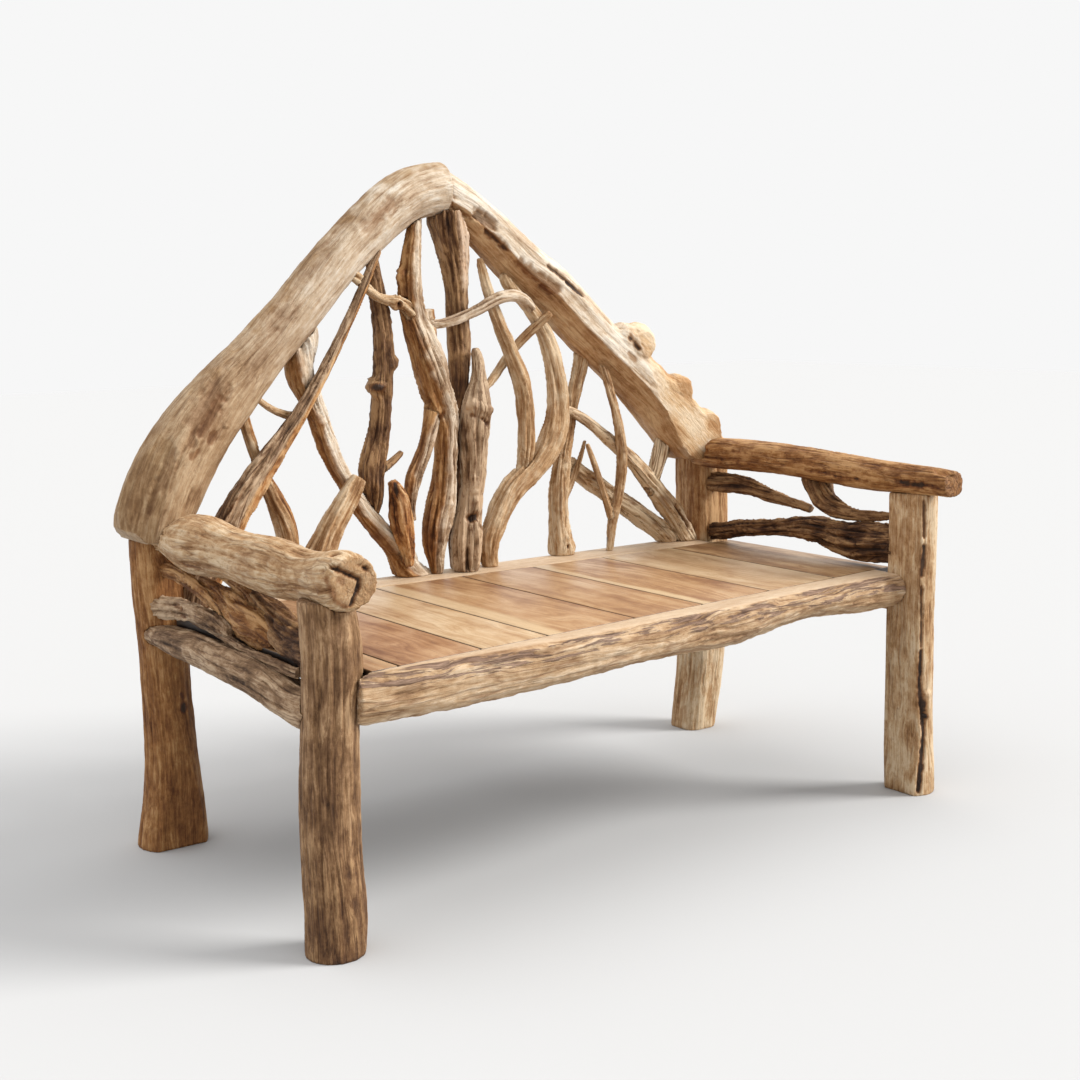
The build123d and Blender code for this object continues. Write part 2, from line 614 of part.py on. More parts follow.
pieces["ledger_screws"] = ledger_screws
pieces["branch_screws"] = branch_screws

os.makedirs("parts", exist_ok=True)
for name, piece in pieces.items():
    piece.label = name
    export_step(piece, f"parts/{name}.step")
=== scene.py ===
from math import cos, pi, radians, sin

import bmesh
import bpy
import numpy as np
from mathutils import Matrix, Vector


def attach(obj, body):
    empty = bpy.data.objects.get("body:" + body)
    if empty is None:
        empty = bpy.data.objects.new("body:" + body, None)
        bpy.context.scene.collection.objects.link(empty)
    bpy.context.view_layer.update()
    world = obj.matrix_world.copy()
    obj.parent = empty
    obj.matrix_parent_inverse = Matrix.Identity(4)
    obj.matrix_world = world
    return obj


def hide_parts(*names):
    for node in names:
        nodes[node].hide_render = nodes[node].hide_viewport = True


# Rustic garden bench of teak roots and driftwood: the looks of every piece, built over the
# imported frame. Stations, marks and sawn planes are in millimetres and the rest is in metres.

MM = 0.001
VOXEL = 0.0028  # of the even mesh over a log
SMOOTH_STEPS = 4
SAMPLE_STEP = 0.008  # between the samples of a centre line
RUN_GAP = 1.7  # shift of the grain from one run of a branch to the next
SEAT_TOP = 0.450
GABLE_Y = 331  # plane of the gable, in millimetres

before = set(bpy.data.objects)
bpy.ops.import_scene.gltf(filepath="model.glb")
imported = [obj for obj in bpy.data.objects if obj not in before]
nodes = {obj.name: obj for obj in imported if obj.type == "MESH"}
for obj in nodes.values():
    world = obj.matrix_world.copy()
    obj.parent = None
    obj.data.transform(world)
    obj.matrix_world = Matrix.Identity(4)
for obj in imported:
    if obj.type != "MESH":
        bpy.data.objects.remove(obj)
scene = bpy.context.scene
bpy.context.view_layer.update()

# ------------------------ skeletons
# Centre lines and radii of the posts and beams: y of their plane and (x, z, radius) stations
UPRIGHTS = {
    "front_left_post": (-296, [
        (-663, -25, 46), (-665, 50, 49), (-667, 125, 48), (-670, 200, 47), (-668, 275, 46),
        (-665, 350, 45), (-661, 425, 46), (-660, 500, 46), (-661, 590, 46),
    ]),
    "front_right_post": (-296, [
        (668, -25, 49), (665, 60, 50), (660, 150, 49), (658, 240, 48), (657, 330, 48),
        (658, 420, 48), (660, 530, 48), (660, 640, 47),
    ]),
    "rear_left_post": (348, [
        (-655, -30, 68), (-653, 40, 61), (-650, 110, 53), (-651, 180, 48), (-653, 250, 46),
        (-655, 330, 45), (-657, 420, 47), (-660, 500, 49), (-663, 610, 50),
    ]),
    "rear_right_post": (348, [
        (652, -30, 44), (662, 60, 45), (675, 150, 47), (679, 240, 49), (679, 340, 51),
        (678, 440, 52), (677, 550, 52), (677, 660, 52),
    ]),
    "left_gable_beam": (GABLE_Y, [
        (-692, 520, 62), (-682, 590, 67), (-655, 655, 70), (-610, 730, 69), (-555, 800, 64),
        (-490, 867, 56), (-420, 935, 51), (-345, 1010, 49), (-265, 1092, 48), (-182, 1163, 51),
        (-110, 1206, 52), (-40, 1219, 52), (20, 1221, 51),
    ]),
    "right_gable_beam": (GABLE_Y, [
        (-85, 1232, 42), (-38, 1209, 43), (15, 1183, 42), (82, 1133, 43), (150, 1075, 46),
        (230, 1020, 47), (318, 942, 47), (435, 850, 50), (522, 775, 56), (596, 705, 62),
        (650, 652, 60), (700, 600, 58),
    ]),
}
# Centre lines and radii of the arms and rails: (x, y, z, radius) stations
LOGS = {
    "left_arm": [
        (-655, 320, 586, 44), (-655, 210, 586, 48), (-655, 90, 588, 47), (-655, -60, 586, 45),
        (-655, -195, 584, 42), (-655, -300, 590, 44), (-655, -352, 594, 44), (-655, -364, 594, 39),
    ],
    "right_arm": [
        (655, 320, 652, 34), (655, 220, 652, 34), (655, 120, 654, 33), (655, -55, 648, 32),
        (655, -245, 640, 30), (655, -350, 640, 27), (655, -410, 637, 24),
    ],
    "left_side_rail": [
        (-680, 320, 405, 17), (-680, 290, 406, 22), (-680, 215, 408, 27), (-680, 90, 409, 30),
        (-680, -90, 403, 32), (-678, -220, 387, 33), (-676, -300, 384, 32),
    ],
    "right_side_rail": [
        (680, 320, 398, 26), (680, 150, 396, 30), (680, -50, 394, 31), (678, -200, 392, 29),
        (676, -300, 392, 27),
    ],
    "front_seat_rail": [
        (-660, -305, 405, 45), (-400, -320, 405, 45), (-74, -305, 408, 40), (201, -285, 410, 38),
        (409, -265, 415, 34), (660, -258, 415, 34),
    ],
    "rear_seat_rail": [(-660, 311, 409, 45), (0, 311, 409, 45), (660, 311, 409, 45)],
    "rear_seat_ledger": [(-610, 246, 406, 18), (0, 246, 406, 18), (610, 246, 406, 18)],
}
for name, (y, stations) in UPRIGHTS.items():
    LOGS[name] = [(x, y, z, radius) for x, z, radius in stations]

# Back branches by number: a layer in front of or behind the gable plane, and runs of
# (x, z, radius[, layer]) stations
BRANCHES = {
    "02": (-25, [[
        (-606, 440, 28), (-580, 512, 29), (-547, 575, 29), (-508, 636, 28), (-465, 692, 25),
        (-420, 746, 19), (-375, 802, 14), (-335, 858, 12), (-299, 915, 11), (-264, 975, 10),
        (-230, 1038, 9), (-198, 1100, 7),
    ]]),
    "04": (-28, [[
        (-382, 440, 26), (-345, 530, 25), (-315, 580, 22), (-280, 630, 20), (-258, 662, 15),
    ]]),
    "18": (-20, [[
        (-275, 1055, 12), (-225, 1028, 10), (-190, 1006, 10), (-160, 1000, 12), (-125, 972, 12),
    ]]),
    "03": (6, [[
        (-366, 965, 26), (-360, 890, 26), (-345, 828, 22), (-320, 770, 19), (-300, 710, 19),
        (-268, 650, 18), (-225, 585, 19), (-185, 540, 21), (-145, 490, 25), (-95, 440, 25),
    ]]),
    "01": (8, [[
        (-495, 825, 10), (-465, 735, 11), (-430, 645, 17), (-404, 585, 21), (-396, 535, 21),
        (-404, 485, 18), (-410, 440, 16),
    ]]),
    "19": (0, [[(-478, 845, 6), (-440, 812, 6), (-412, 796, 7), (-378, 788, 9)]]),
    "10": (-26, [[
        (-85, 962, 8, -12), (-60, 955, 9, -15), (-15, 965, 10, -18), (30, 981, 11, -20),
        (80, 1003, 12, -26), (135, 1005, 11, -26), (168, 980, 10, -24),
    ]]),
    "11": (-5, [[
        (50, 1085, 6), (60, 1050, 10), (77, 1000, 12), (98, 950, 14), (122, 900, 15),
        (145, 850, 17), (159, 795, 18), (161, 740, 18), (160, 690, 17), (148, 640, 14),
        (130, 600, 12),
    ]]),
    "12": (-10, [[
        (110, 1060, 12), (145, 1005, 12), (177, 975, 14), (205, 935, 16), (226, 885, 18),
        (238, 830, 20), (241, 780, 21), (235, 735, 24), (213, 688, 26), (172, 645, 25),
        (120, 605, 26), (88, 562, 25), (68, 520, 22), (60, 480, 19), (60, 438, 16),
    ]]),
    "13": (0, [[
        (208, 973, 8, -34), (178, 940, 10, -12), (148, 900, 9, 14), (110, 858, 9, 16),
        (68, 822, 7, 6),
    ]]),
    "09": (-22, [[
        (24, 905, 6), (30, 870, 12), (30, 835, 17), (25, 798, 26), (20, 750, 28),
        (17, 705, 26), (14, 655, 24), (8, 600, 23), (0, 550, 28), (-6, 500, 31),
        (-10, 440, 27),
    ]]),
    "07": (-10, [
        [(-100, 1210, 14), (-108, 1140, 14), (-117, 1080, 20), (-121, 1030, 22),
         (-116, 980, 24), (-98, 930, 28), (-76, 870, 31), (-58, 810, 29), (-40, 755, 23),
         (-42, 700, 22), (-48, 645, 25), (-58, 590, 28), (-72, 540, 27), (-76, 490, 19),
         (-75, 438, 15)],
        [(-58, 800, 15), (-82, 745, 14), (-100, 695, 15), (-122, 650, 17), (-130, 610, 12),
         (-130, 565, 9)],
        [(-78, 900, 16), (-76, 945, 14), (-76, 985, 10)],
    ]),
    "08": (15, [[
        (-22, 1195, 30, 0), (-20, 1150, 40, 0), (-8, 1105, 33, 6), (3, 1045, 25, 12),
        (7, 985, 22), (10, 925, 23), (9, 860, 21), (6, 795, 20), (5, 730, 20), (3, 660, 20),
        (0, 590, 21), (0, 515, 21), (0, 438, 21),
    ]]),
    "06": (-25, [[
        (-182, 650, 9), (-166, 605, 20), (-160, 560, 22), (-152, 515, 16), (-145, 475, 10),
    ]]),
    "05": (6, [
        [(-208, 1130, 13), (-193, 1065, 14), (-182, 1000, 17), (-175, 940, 19),
         (-175, 880, 20), (-180, 815, 20), (-188, 750, 21), (-203, 690, 25), (-208, 640, 24),
         (-212, 585, 15)],
        [(-200, 665, 11), (-165, 682, 9), (-138, 702, 7)],
    ]),
    "17": (-20, [
        [(350, 870, 10, -20), (370, 815, 10, -23), (386, 760, 10, -26), (397, 710, 11, -28),
         (406, 660, 12, -24), (410, 610, 12, -16), (403, 560, 12, -10), (388, 510, 11, -10),
         (376, 438, 10, -10)],
        [(386, 525, 9, -10), (362, 590, 8, -10), (338, 650, 7, -10), (320, 690, 5, -10)],
    ]),
    "15": (-4, [
        [(240, 790, 10), (290, 758, 10), (340, 728, 11), (390, 692, 13), (443, 652, 16),
         (493, 602, 19), (540, 550, 22), (583, 498, 24), (628, 438, 24)],
        [(500, 575, 15), (527, 640, 18), (545, 700, 19), (560, 760, 19)],
    ]),
    "14": (17, [
        [(334, 935, 18), (330, 880, 18), (315, 828, 16), (301, 775, 15), (290, 718, 14),
         (275, 660, 18), (265, 605, 20), (261, 550, 19), (264, 495, 23), (265, 438, 27)],
        [(262, 550, 10), (290, 595, 9), (314, 640, 7), (335, 695, 4)],
    ]),
    "16": (30, [[
        (308, 648, 15, 38), (345, 615, 19, 38), (395, 582, 21, 34), (450, 545, 22, 30),
        (508, 505, 23, 20), (580, 438, 22, 10),
    ]]),
}

# Roots under the arms: runs of (x, y, z, radius) stations
ARM_ROOTS = {
    "left_arm_root_2": [
        [(-676, 345, 456, 19), (-676, 280, 461, 20), (-676, 215, 468, 19), (-676, 150, 471, 17),
         (-676, 85, 468, 16), (-676, 20, 455, 11)],
        [(-680, 160, 456, 5), (-680, 95, 454, 6), (-680, 30, 450, 8), (-680, -35, 441, 8),
         (-680, -100, 437, 9), (-680, -165, 436, 9), (-680, -230, 437, 9)],
    ],
    "left_arm_root_1": [
        [(-665, 365, 527, 14), (-665, 302, 527, 15), (-665, 236, 524, 14), (-665, 173, 513, 13),
         (-665, 115, 500, 13), (-665, 68, 481, 13), (-665, 25, 452, 12)],
        [(-655, 170, 524, 9), (-655, 112, 515, 14), (-655, 54, 497, 25), (-655, -4, 480, 36),
         (-655, -60, 472, 33), (-655, -112, 455, 16)],
        [(-648, 155, 549, 7), (-648, 100, 543, 9), (-648, 46, 535, 11), (-648, -5, 520, 12),
         (-648, -50, 494, 10)],
    ],
    "left_arm_root_3": [[
        (-640, 45, 545, 12), (-640, -20, 515, 18), (-640, -78, 490, 26), (-642, -135, 470, 30),
        (-645, -200, 460, 33), (-650, -270, 457, 34),
    ]],
    "right_arm_root_2": [[
        (664, 330, 462, 15), (664, 264, 475, 19), (664, 200, 486, 19), (664, 136, 494, 18),
        (664, 69, 502, 19), (664, 2, 509, 25), (664, -65, 506, 31), (664, -130, 499, 39),
        (664, -195, 500, 43), (664, -260, 503, 45),
    ]],
    "right_arm_root_1": [[
        (664, 330, 584, 21), (664, 255, 584, 21), (664, 180, 582, 18), (664, 110, 570, 14),
        (664, 45, 560, 11), (664, -15, 550, 9),
    ]],
    "right_arm_root_3": [[
        (664, -28, 652, 34), (664, -34, 606, 32), (664, -60, 573, 26), (664, -104, 557, 18),
        (664, -158, 553, 12), (664, -212, 556, 10), (664, -266, 560, 9),
    ]],
}

ALONG_X, ALONG_Y = np.eye(3)[:2]


def gable_runs(layer, runs):
    """(x, y, z, radius) stations of a back branch."""
    return [[(s[0], GABLE_Y + (s[3] if len(s) > 3 else layer), s[1], s[2]) for s in run]
            for run in runs]


# ------------------------ noise
NOISE_TABLE = 4096
HASH = (73856093, 19349663, 83492791, 2654435)
table = np.random.default_rng(11).normal(size=(NOISE_TABLE, 3))
table /= np.linalg.norm(table, axis=1)[:, None]


def noise(points, seed):
    """Smooth noise, about -1 to 1, at (n, 3) points."""
    cell = np.floor(points).astype(np.int64)
    part = points - cell
    ease = part ** 3 * (part * (part * 6 - 15) + 10)
    total = np.zeros(len(points))
    for corner in np.ndindex(2, 2, 2):
        at = cell + corner
        x, y, z = at.T
        key = x * HASH[0] ^ y * HASH[1] ^ z * HASH[2] ^ seed * HASH[3]
        slope = table[key % NOISE_TABLE]
        weight = np.prod(np.where(corner, ease, 1 - ease), axis=1)
        total += weight * np.einsum("ij,ij->i", slope, part - corner)
    return total * 1.6


def layered(points, seed, octaves=3):
    """Noise with finer octaves on top of each other."""
    total, size, share = np.zeros(len(points)), 1.0, 0.0
    for octave in range(octaves):
        total += noise(points / size, seed + octave * 7) * size
        share += size
        size *= 0.5
    return total / share


def step(value, start, end):
    """0 below start and 1 above end, with a soft rise between them."""
    t = np.clip((value - start) / (end - start), 0, 1)
    return t * t * (3 - 2 * t)


# ------------------------ coordinates along the wood
def resample(run):
    """Points and radii every few millimetres along a run, on a smooth curve."""
    knots = np.array(run, float) * MM
    ends = np.vstack([2 * knots[0] - knots[1], knots, 2 * knots[-1] - knots[-2]])
    rows = []
    for a, b, c, d in zip(ends, ends[1:], ends[2:], ends[3:]):
        count = max(2, int(np.linalg.norm(c[:3] - b[:3]) / SAMPLE_STEP))
        for t in np.arange(count) / count:
            rows.append(0.5 * (2 * b + (c - a) * t + (2 * a - 5 * b + 4 * c - d) * t ** 2
                               + (3 * b - a - 3 * c + d) * t ** 3))
    rows.append(knots[-1])
    return np.array(rows)


def skeleton(runs, side):
    """Samples of every run: centre, radius, length so far, and the directions along, across
    and upright of the log."""
    parts = []
    for order, run in enumerate(runs):
        rows = resample(run)
        centre, radius = rows[:, :3], rows[:, 3]
        along = np.gradient(centre, axis=0)
        along /= np.linalg.norm(along, axis=1)[:, None]
        gone = np.linalg.norm(np.diff(centre, axis=0), axis=1)
        length = np.concatenate([[0], np.cumsum(gone)]) + order * RUN_GAP
        across = side - along * (along @ side)[:, None]
        across /= np.linalg.norm(across, axis=1)[:, None]
        parts.append((centre, radius, length, along, across, np.cross(along, across)))
    return [np.concatenate(column) for column in zip(*parts)]


BLOCK = 20000  # points that are placed at once


def place(points, bones):
    """Length along the log, offsets across and upright of it, its radius and its direction."""
    centre, radius, length, along, across, upright = bones
    blocks = np.split(points, range(BLOCK, len(points), BLOCK))
    nearest = np.concatenate([
        np.argmin(np.linalg.norm(block[:, None] - centre, axis=2) - radius, axis=1)
        for block in blocks])
    offset = points - centre[nearest]
    s = length[nearest] + np.einsum("ij,ij->i", offset, along[nearest])
    u = np.einsum("ij,ij->i", offset, across[nearest])
    v = np.einsum("ij,ij->i", offset, upright[nearest])
    return s, u, v, radius[nearest], along[nearest]


# ------------------------ meshes
def collect(name, mesh, node, material):
    """Show a mesh in place of a CAD node."""
    piece = bpy.data.objects.new(name, mesh)
    scene.collection.objects.link(piece)
    mesh.materials.clear()
    mesh.materials.append(material)
    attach(piece, "root")
    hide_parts(node)


def skin(node):
    """Even, slightly rounded mesh over a CAD node."""
    draft = bpy.data.objects.new("draft", nodes[node].data.copy())
    scene.collection.objects.link(draft)
    remesh = draft.modifiers.new("even", "REMESH")
    remesh.mode = "VOXEL"
    remesh.voxel_size = VOXEL
    smooth = draft.modifiers.new("soften", "SMOOTH")
    smooth.iterations = SMOOTH_STEPS
    smooth.factor = 0.5
    graph = bpy.context.evaluated_depsgraph_get()
    mesh = bpy.data.meshes.new_from_object(draft.evaluated_get(graph))
    bpy.data.objects.remove(draft)
    return mesh


def read(mesh, what):
    """Positions or normals of a mesh's vertices."""
    values = np.zeros(len(mesh.vertices) * 3)
    mesh.vertices.foreach_get(what, values)
    return values.reshape(-1, 3)


def store(mesh, name, values):
    """Keep one value or one vector per vertex for the material."""
    kind, field = ("FLOAT_VECTOR", "vector") if values.ndim == 2 else ("FLOAT", "value")
    layer = mesh.attributes.new(name, kind, "POINT")
    layer.data.foreach_set(field, values.astype(np.float32).ravel())


def dents(points, marks):
    """Depth and darkness that marks give each point."""
    depth, dark = np.zeros(len(points)), np.zeros(len(points))
    wobble = layered(points / 0.012, 91)
    for start, end, radius, deep, darkness in marks:
        a, b = np.array(start) * MM, np.array(end) * MM
        span = b - a
        t = np.clip((points - a) @ span / max(span @ span, 1e-9), 0, 1)
        away = np.linalg.norm(points - a - t[:, None] * span, axis=1) / (radius * MM)
        inside = 1 - step(away + 0.5 * wobble, 0.3, 1.0)
        depth = np.where(abs(inside * deep) > abs(depth), inside * deep, depth)
        dark = np.maximum(dark, inside * darkness)
    return depth * MM, dark


# A pale burl spreads over the foot of one beam: its left edge (x, z), its front and its lumps
BURL_BEAM = "right_gable_beam"
BURL_EDGE = [(396, 985), (420, 910), (470, 830), (490, 770), (510, 730), (545, 680), (590, 620)]
BURL_FRONT, BURL_LUMPS = 0.281, 0.009


def burl_face(points):
    """How far each point is inside the pale carved burl, and how lumpy it is there."""
    at_x, at_z = np.array(BURL_EDGE[::-1]).T * MM
    wave = 0.014 * layered(points / 0.035, 63)
    inside = points[:, 0] - np.interp(points[:, 2], at_z, at_x) + wave
    lumps = BURL_LUMPS * layered(points / 0.04, 67, 4) * step(inside, 0, 0.02)
    return step(inside, -0.01, 0.03), lumps


# The beams are hewn off along one front edge: 1 for the upper edge or -1 for the lower one, and
# (z, how far out the hewn side lies in beam radii)
HEWN = {
    "left_gable_beam": (1, [(600, 0.68), (650, 0.72), (710, 0.82), (770, 0.97), (820, 1.3)]),
    "right_gable_beam": (-1, [(620, 1.3), (680, 1.05), (750, 0.88), (800, 0.82)]),
}
FORWARD, SIDEWAYS = 0.6, 0.8  # slant of the hewn side


def hewn_side(points, v, u, radius, facing, reaches):
    """How far each point lies outside the hewn side of a beam, in beam radii."""
    at_z, reach = np.array(reaches).T
    wave = 0.02 * layered(points / 0.06, 53, 2)
    out = (-FORWARD * u + SIDEWAYS * facing * v) / radius
    return out - np.interp(points[:, 2], at_z * MM, reach) + wave


# Logs whose other, darker shades cover one end: lengths along the log where they start and are full
END_SHARE = 0.9
ENDS = {"left_gable_beam": (0.85, 0.3), "rear_right_post": (0.44, 0.5),
        "back_branch_08": (0.14, 0.2), "front_left_post": (0.34, 0.1)}
SAWN_EDGE = (0.0015, 0.007)  # distances from a sawn plane where the wear starts and is full
THICK = 0.03  # radius up to which the relief of a log grows


def weather(node, runs, side, look, sawn):
    """Skin of a CAD node, worn like driftwood: low swellings, flutes and cracks that follow
    the grain, and its marks. Sawn planes (axis, place) stay flat."""
    seed = sum(ord(letter) * (place_in + 3) for place_in, letter in enumerate(node)) % 997
    mesh = skin(node)
    points, normals = read(mesh, "co"), read(mesh, "normal")
    s, u, v, radius, along = place(points, skeleton(runs, side))
    # Other shades on one side: painted shade on the gable beams, partly painted shade on some
    # branches
    facing, start, full, ragged = SIDES[node][1:] if node in SIDES else NO_SIDE
    border = ragged * layered(points / 0.03, seed + 6)
    other_side = step(facing * v / radius + border, start, full)
    if node in ENDS:
        at_end = END_SHARE * step(s + 0.1 * border, *ENDS[node])
        other_side = np.maximum(other_side, at_end)
    cut_back = np.zeros_like(points)
    if node in HEWN:
        edge_side, reaches = HEWN[node]
        outside = hewn_side(points, v, u, radius, edge_side, reaches)
        # The hewn side takes the other shades: painted shade on the cut face
        other_side = np.maximum(other_side, step(outside, -0.01, 0.02))
        upright = np.cross(along, ALONG_Y)
        upright /= np.linalg.norm(upright, axis=1)[:, None]
        inward = FORWARD * ALONG_Y - SIDEWAYS * edge_side * upright
        cut_back = inward * (np.maximum(outside, 0) * radius)[:, None]
    twist = look["twist"] * s
    u, v = u * np.cos(twist) - v * np.sin(twist), u * np.sin(twist) + v * np.cos(twist)
    turn = np.arctan2(v, u)
    ring = np.stack([s, np.cos(turn), np.sin(turn)], axis=1) + seed

    swell = layered(ring * (7, 1.1, 1.1), seed, 2)
    flute = layered(ring * (3.2, look["flutes"], look["flutes"]), seed + 1)
    flute = 1 - 2 * np.minimum(abs(flute) * 2.2, 1)
    gnarl = layered(points / 0.03 + seed, seed + 2)
    split_at = noise(ring * (3.5, look["splits"], look["splits"]), seed + 3)
    broken = step(noise(ring * (6, 2, 2), seed + 4), -0.1, 0.25)
    crack = (1 - step(abs(split_at), 0.02, 0.16)) * broken

    wear = np.ones(len(points))
    for axis, at in sawn:
        wear *= step(abs(points[:, axis] - at * MM), *SAWN_EDGE)
    cut = abs(np.einsum("ij,ij->i", normals, along))
    wear *= 1 - 0.75 * step(cut, 0.75, 0.95)
    rise = (look["swell"] * swell + look["flute"] * (flute - 0.3) + look["gnarl"] * gnarl
            - look["crack"] * crack) * np.minimum(radius, THICK)
    mark, dark = dents(points, MARKS.get(node, ()))
    pale = np.zeros(len(points))
    if node == BURL_BEAM:
        pale, lumps = burl_face(points)
        mark -= lumps
        rise *= 1 - 0.6 * pale
    points = points + normals * (rise * wear - mark)[:, None] + cut_back
    if node == BURL_BEAM:
        flat = BURL_FRONT + 0.002 * layered(points / 0.04, 71, 2)
        points[:, 1] = np.where(pale > 0.5, np.maximum(points[:, 1], flat), points[:, 1])
    if "foot" in look:
        points[:, 2] = np.maximum(points[:, 2], look["foot"])
    mesh.vertices.foreach_set("co", points.ravel())
    mesh.update()
    mesh.shade_smooth()
    # Relief in the colour: paler on worn ridges, and darker in flutes and cracks as painted shade
    # in these hollows
    ridge_wear_and_hollow_shade = np.clip(0.5 * (flute + 0.4) * wear + 0.6 * gnarl - crack * wear, -1, 1)
    store(mesh, "grain", np.stack([s, u, v], axis=1) + seed * np.array([0.37, 0.11, 0.07]))
    for kept, values in (("ridge_wear_and_hollow_shade", ridge_wear_and_hollow_shade), ("scar", np.clip(dark, 0, 1)), ("pale", pale),
                         ("side", other_side), ("sawn", step(cut, 0.7, 0.9))):
        store(mesh, kept, values)
    return mesh


# ------------------------ materials
# Light that the studio sends onto an open upright surface, so that wood can be given by the
# colour it shows there
DAYLIGHT = 1.3
SHINE = 0.35  # specular level, and roughness of the coat
LOG_STOPS = (0.04, 0.34, 0.62, 0.94)  # places of the four shades of a log


def colour(red, green, blue):
    """Linear base colour of a surface that shows the given 0-255 levels in the studio."""
    levels = np.array([red, green, blue]) / 255
    linear = np.where(levels <= 0.04045, levels / 12.92, ((levels + 0.055) / 1.055) ** 2.4)
    return (*(float(value) / DAYLIGHT for value in linear), 1.0)


def palette(*levels):
    """Base colours from dark to pale."""
    return [colour(*level) for level in levels]


class Graph:
    """Node tree of one material."""

    def __init__(self, name):
        self.material = bpy.data.materials.new(name)
        self.material.use_nodes = True
        self.tree = self.material.node_tree
        self.tree.nodes.clear()

    def add(self, kind, **inputs):
        """Node with its inputs set to constants or linked to other nodes' outputs."""
        node = self.tree.nodes.new(kind)
        for name, value in inputs.items():
            self.put(node.inputs[name.replace("_", " ")], value)
        return node

    def put(self, socket, value):
        if isinstance(value, bpy.types.NodeSocket):
            self.tree.links.new(value, socket)
        else:
            socket.default_value = value

    def attribute(self, name):
        """The grain's coordinates, or one of the values kept with a mesh."""
        node = self.tree.nodes.new("ShaderNodeAttribute")
        node.attribute_name = name
        return node.outputs["Vector" if name == "grain" else "Fac"]

    def maths(self, operation, first, second=0.0, kind="Math"):
        node = self.tree.nodes.new(f"ShaderNode{kind}")
        node.operation = operation
        self.put(node.inputs[0], first)
        self.put(node.inputs[1], second)
        return node.outputs[0]

    def times(self, first, second):
        return self.maths("MULTIPLY", first, second)

    def plus(self, first, second):
        return self.maths("ADD", first, second)

    def minus(self, first, second):
        return self.maths("SUBTRACT", first, second)

    def weigh(self, parts, total=0.0, middle=0.0):
        """A total plus, for each part, its distance above the middle times its share."""
        for part, share in parts:
            total = self.plus(total, self.times(self.minus(part, middle), share))
        return total

    def stretched(self, vector, stretch):
        return self.maths("MULTIPLY", vector, stretch, "VectorMath")

    def bend(self, vector, wave, reach):
        """Vector pushed aside by a wave."""
        return self.maths("ADD", vector, self.stretched(wave, reach), "VectorMath")

    def noise(self, vector, stretch, detail=3.0, rough=0.55):
        """Noise over a stretched vector, spread to about 0-1."""
        node = self.add("ShaderNodeTexNoise", Vector=self.stretched(vector, stretch),
                        Scale=1.0, Detail=detail, Roughness=rough)
        return self.spread(node.outputs["Fac"], 0.3, 0.7)

    def lines(self, vector, stretch, width):
        """1 on thin winding lines and 0 between them."""
        node = self.add("ShaderNodeTexNoise", Vector=self.stretched(vector, stretch),
                        Scale=1.0, Detail=1.5, Roughness=0.5)
        away = self.maths("ABSOLUTE", self.minus(node.outputs["Fac"], 0.5))
        return self.spread(away, 0.0, width, 1.0, 0.0)

    def spread(self, value, low, high, start=0.0, end=1.0):
        node = self.tree.nodes.new("ShaderNodeMapRange")
        node.interpolation_type = "SMOOTHSTEP"
        for socket, setting in zip(node.inputs, (value, low, high, start, end)):
            self.put(socket, setting)
        return node.outputs[0]

    def ramp(self, value, stops):
        """Colour ramp with (place, colour) stops."""
        node = self.tree.nodes.new("ShaderNodeValToRGB")
        band = node.color_ramp
        stops = list(stops)
        while len(band.elements) < len(stops):
            band.elements.new(0.5)
        for element, (at, shade) in zip(band.elements, stops):
            element.position = at
            element.color = shade
        self.put(node.inputs[0], value)
        return node.outputs[0]

    def mix(self, factor, first, second, blend="MIX"):
        node = self.tree.nodes.new("ShaderNodeMix")
        node.data_type = "RGBA"
        node.blend_type = blend
        self.put(node.inputs[0], factor)
        self.put(node.inputs[6], first)
        self.put(node.inputs[7], second)
        return node.outputs[2]

    def tint(self, shade, factors):
        """Shade multiplied by factors for red, green and blue."""
        return self.mix(1.0, shade, (*factors, 1.0), "MULTIPLY")

    def finish(self, shade, roughness, height, depth, strength=0.8, coat=0.0, metal=0.0):
        bump = self.add("ShaderNodeBump", Height=height, Distance=depth, Strength=strength)
        surface = self.add("ShaderNodeBsdfPrincipled", Base_Color=shade, Roughness=roughness,
                           Normal=bump.outputs[0], Metallic=metal, Specular_IOR_Level=SHINE,
                           Coat_Weight=coat, Coat_Roughness=SHINE)
        self.add("ShaderNodeOutputMaterial", Surface=surface.outputs[0])
        return self.material


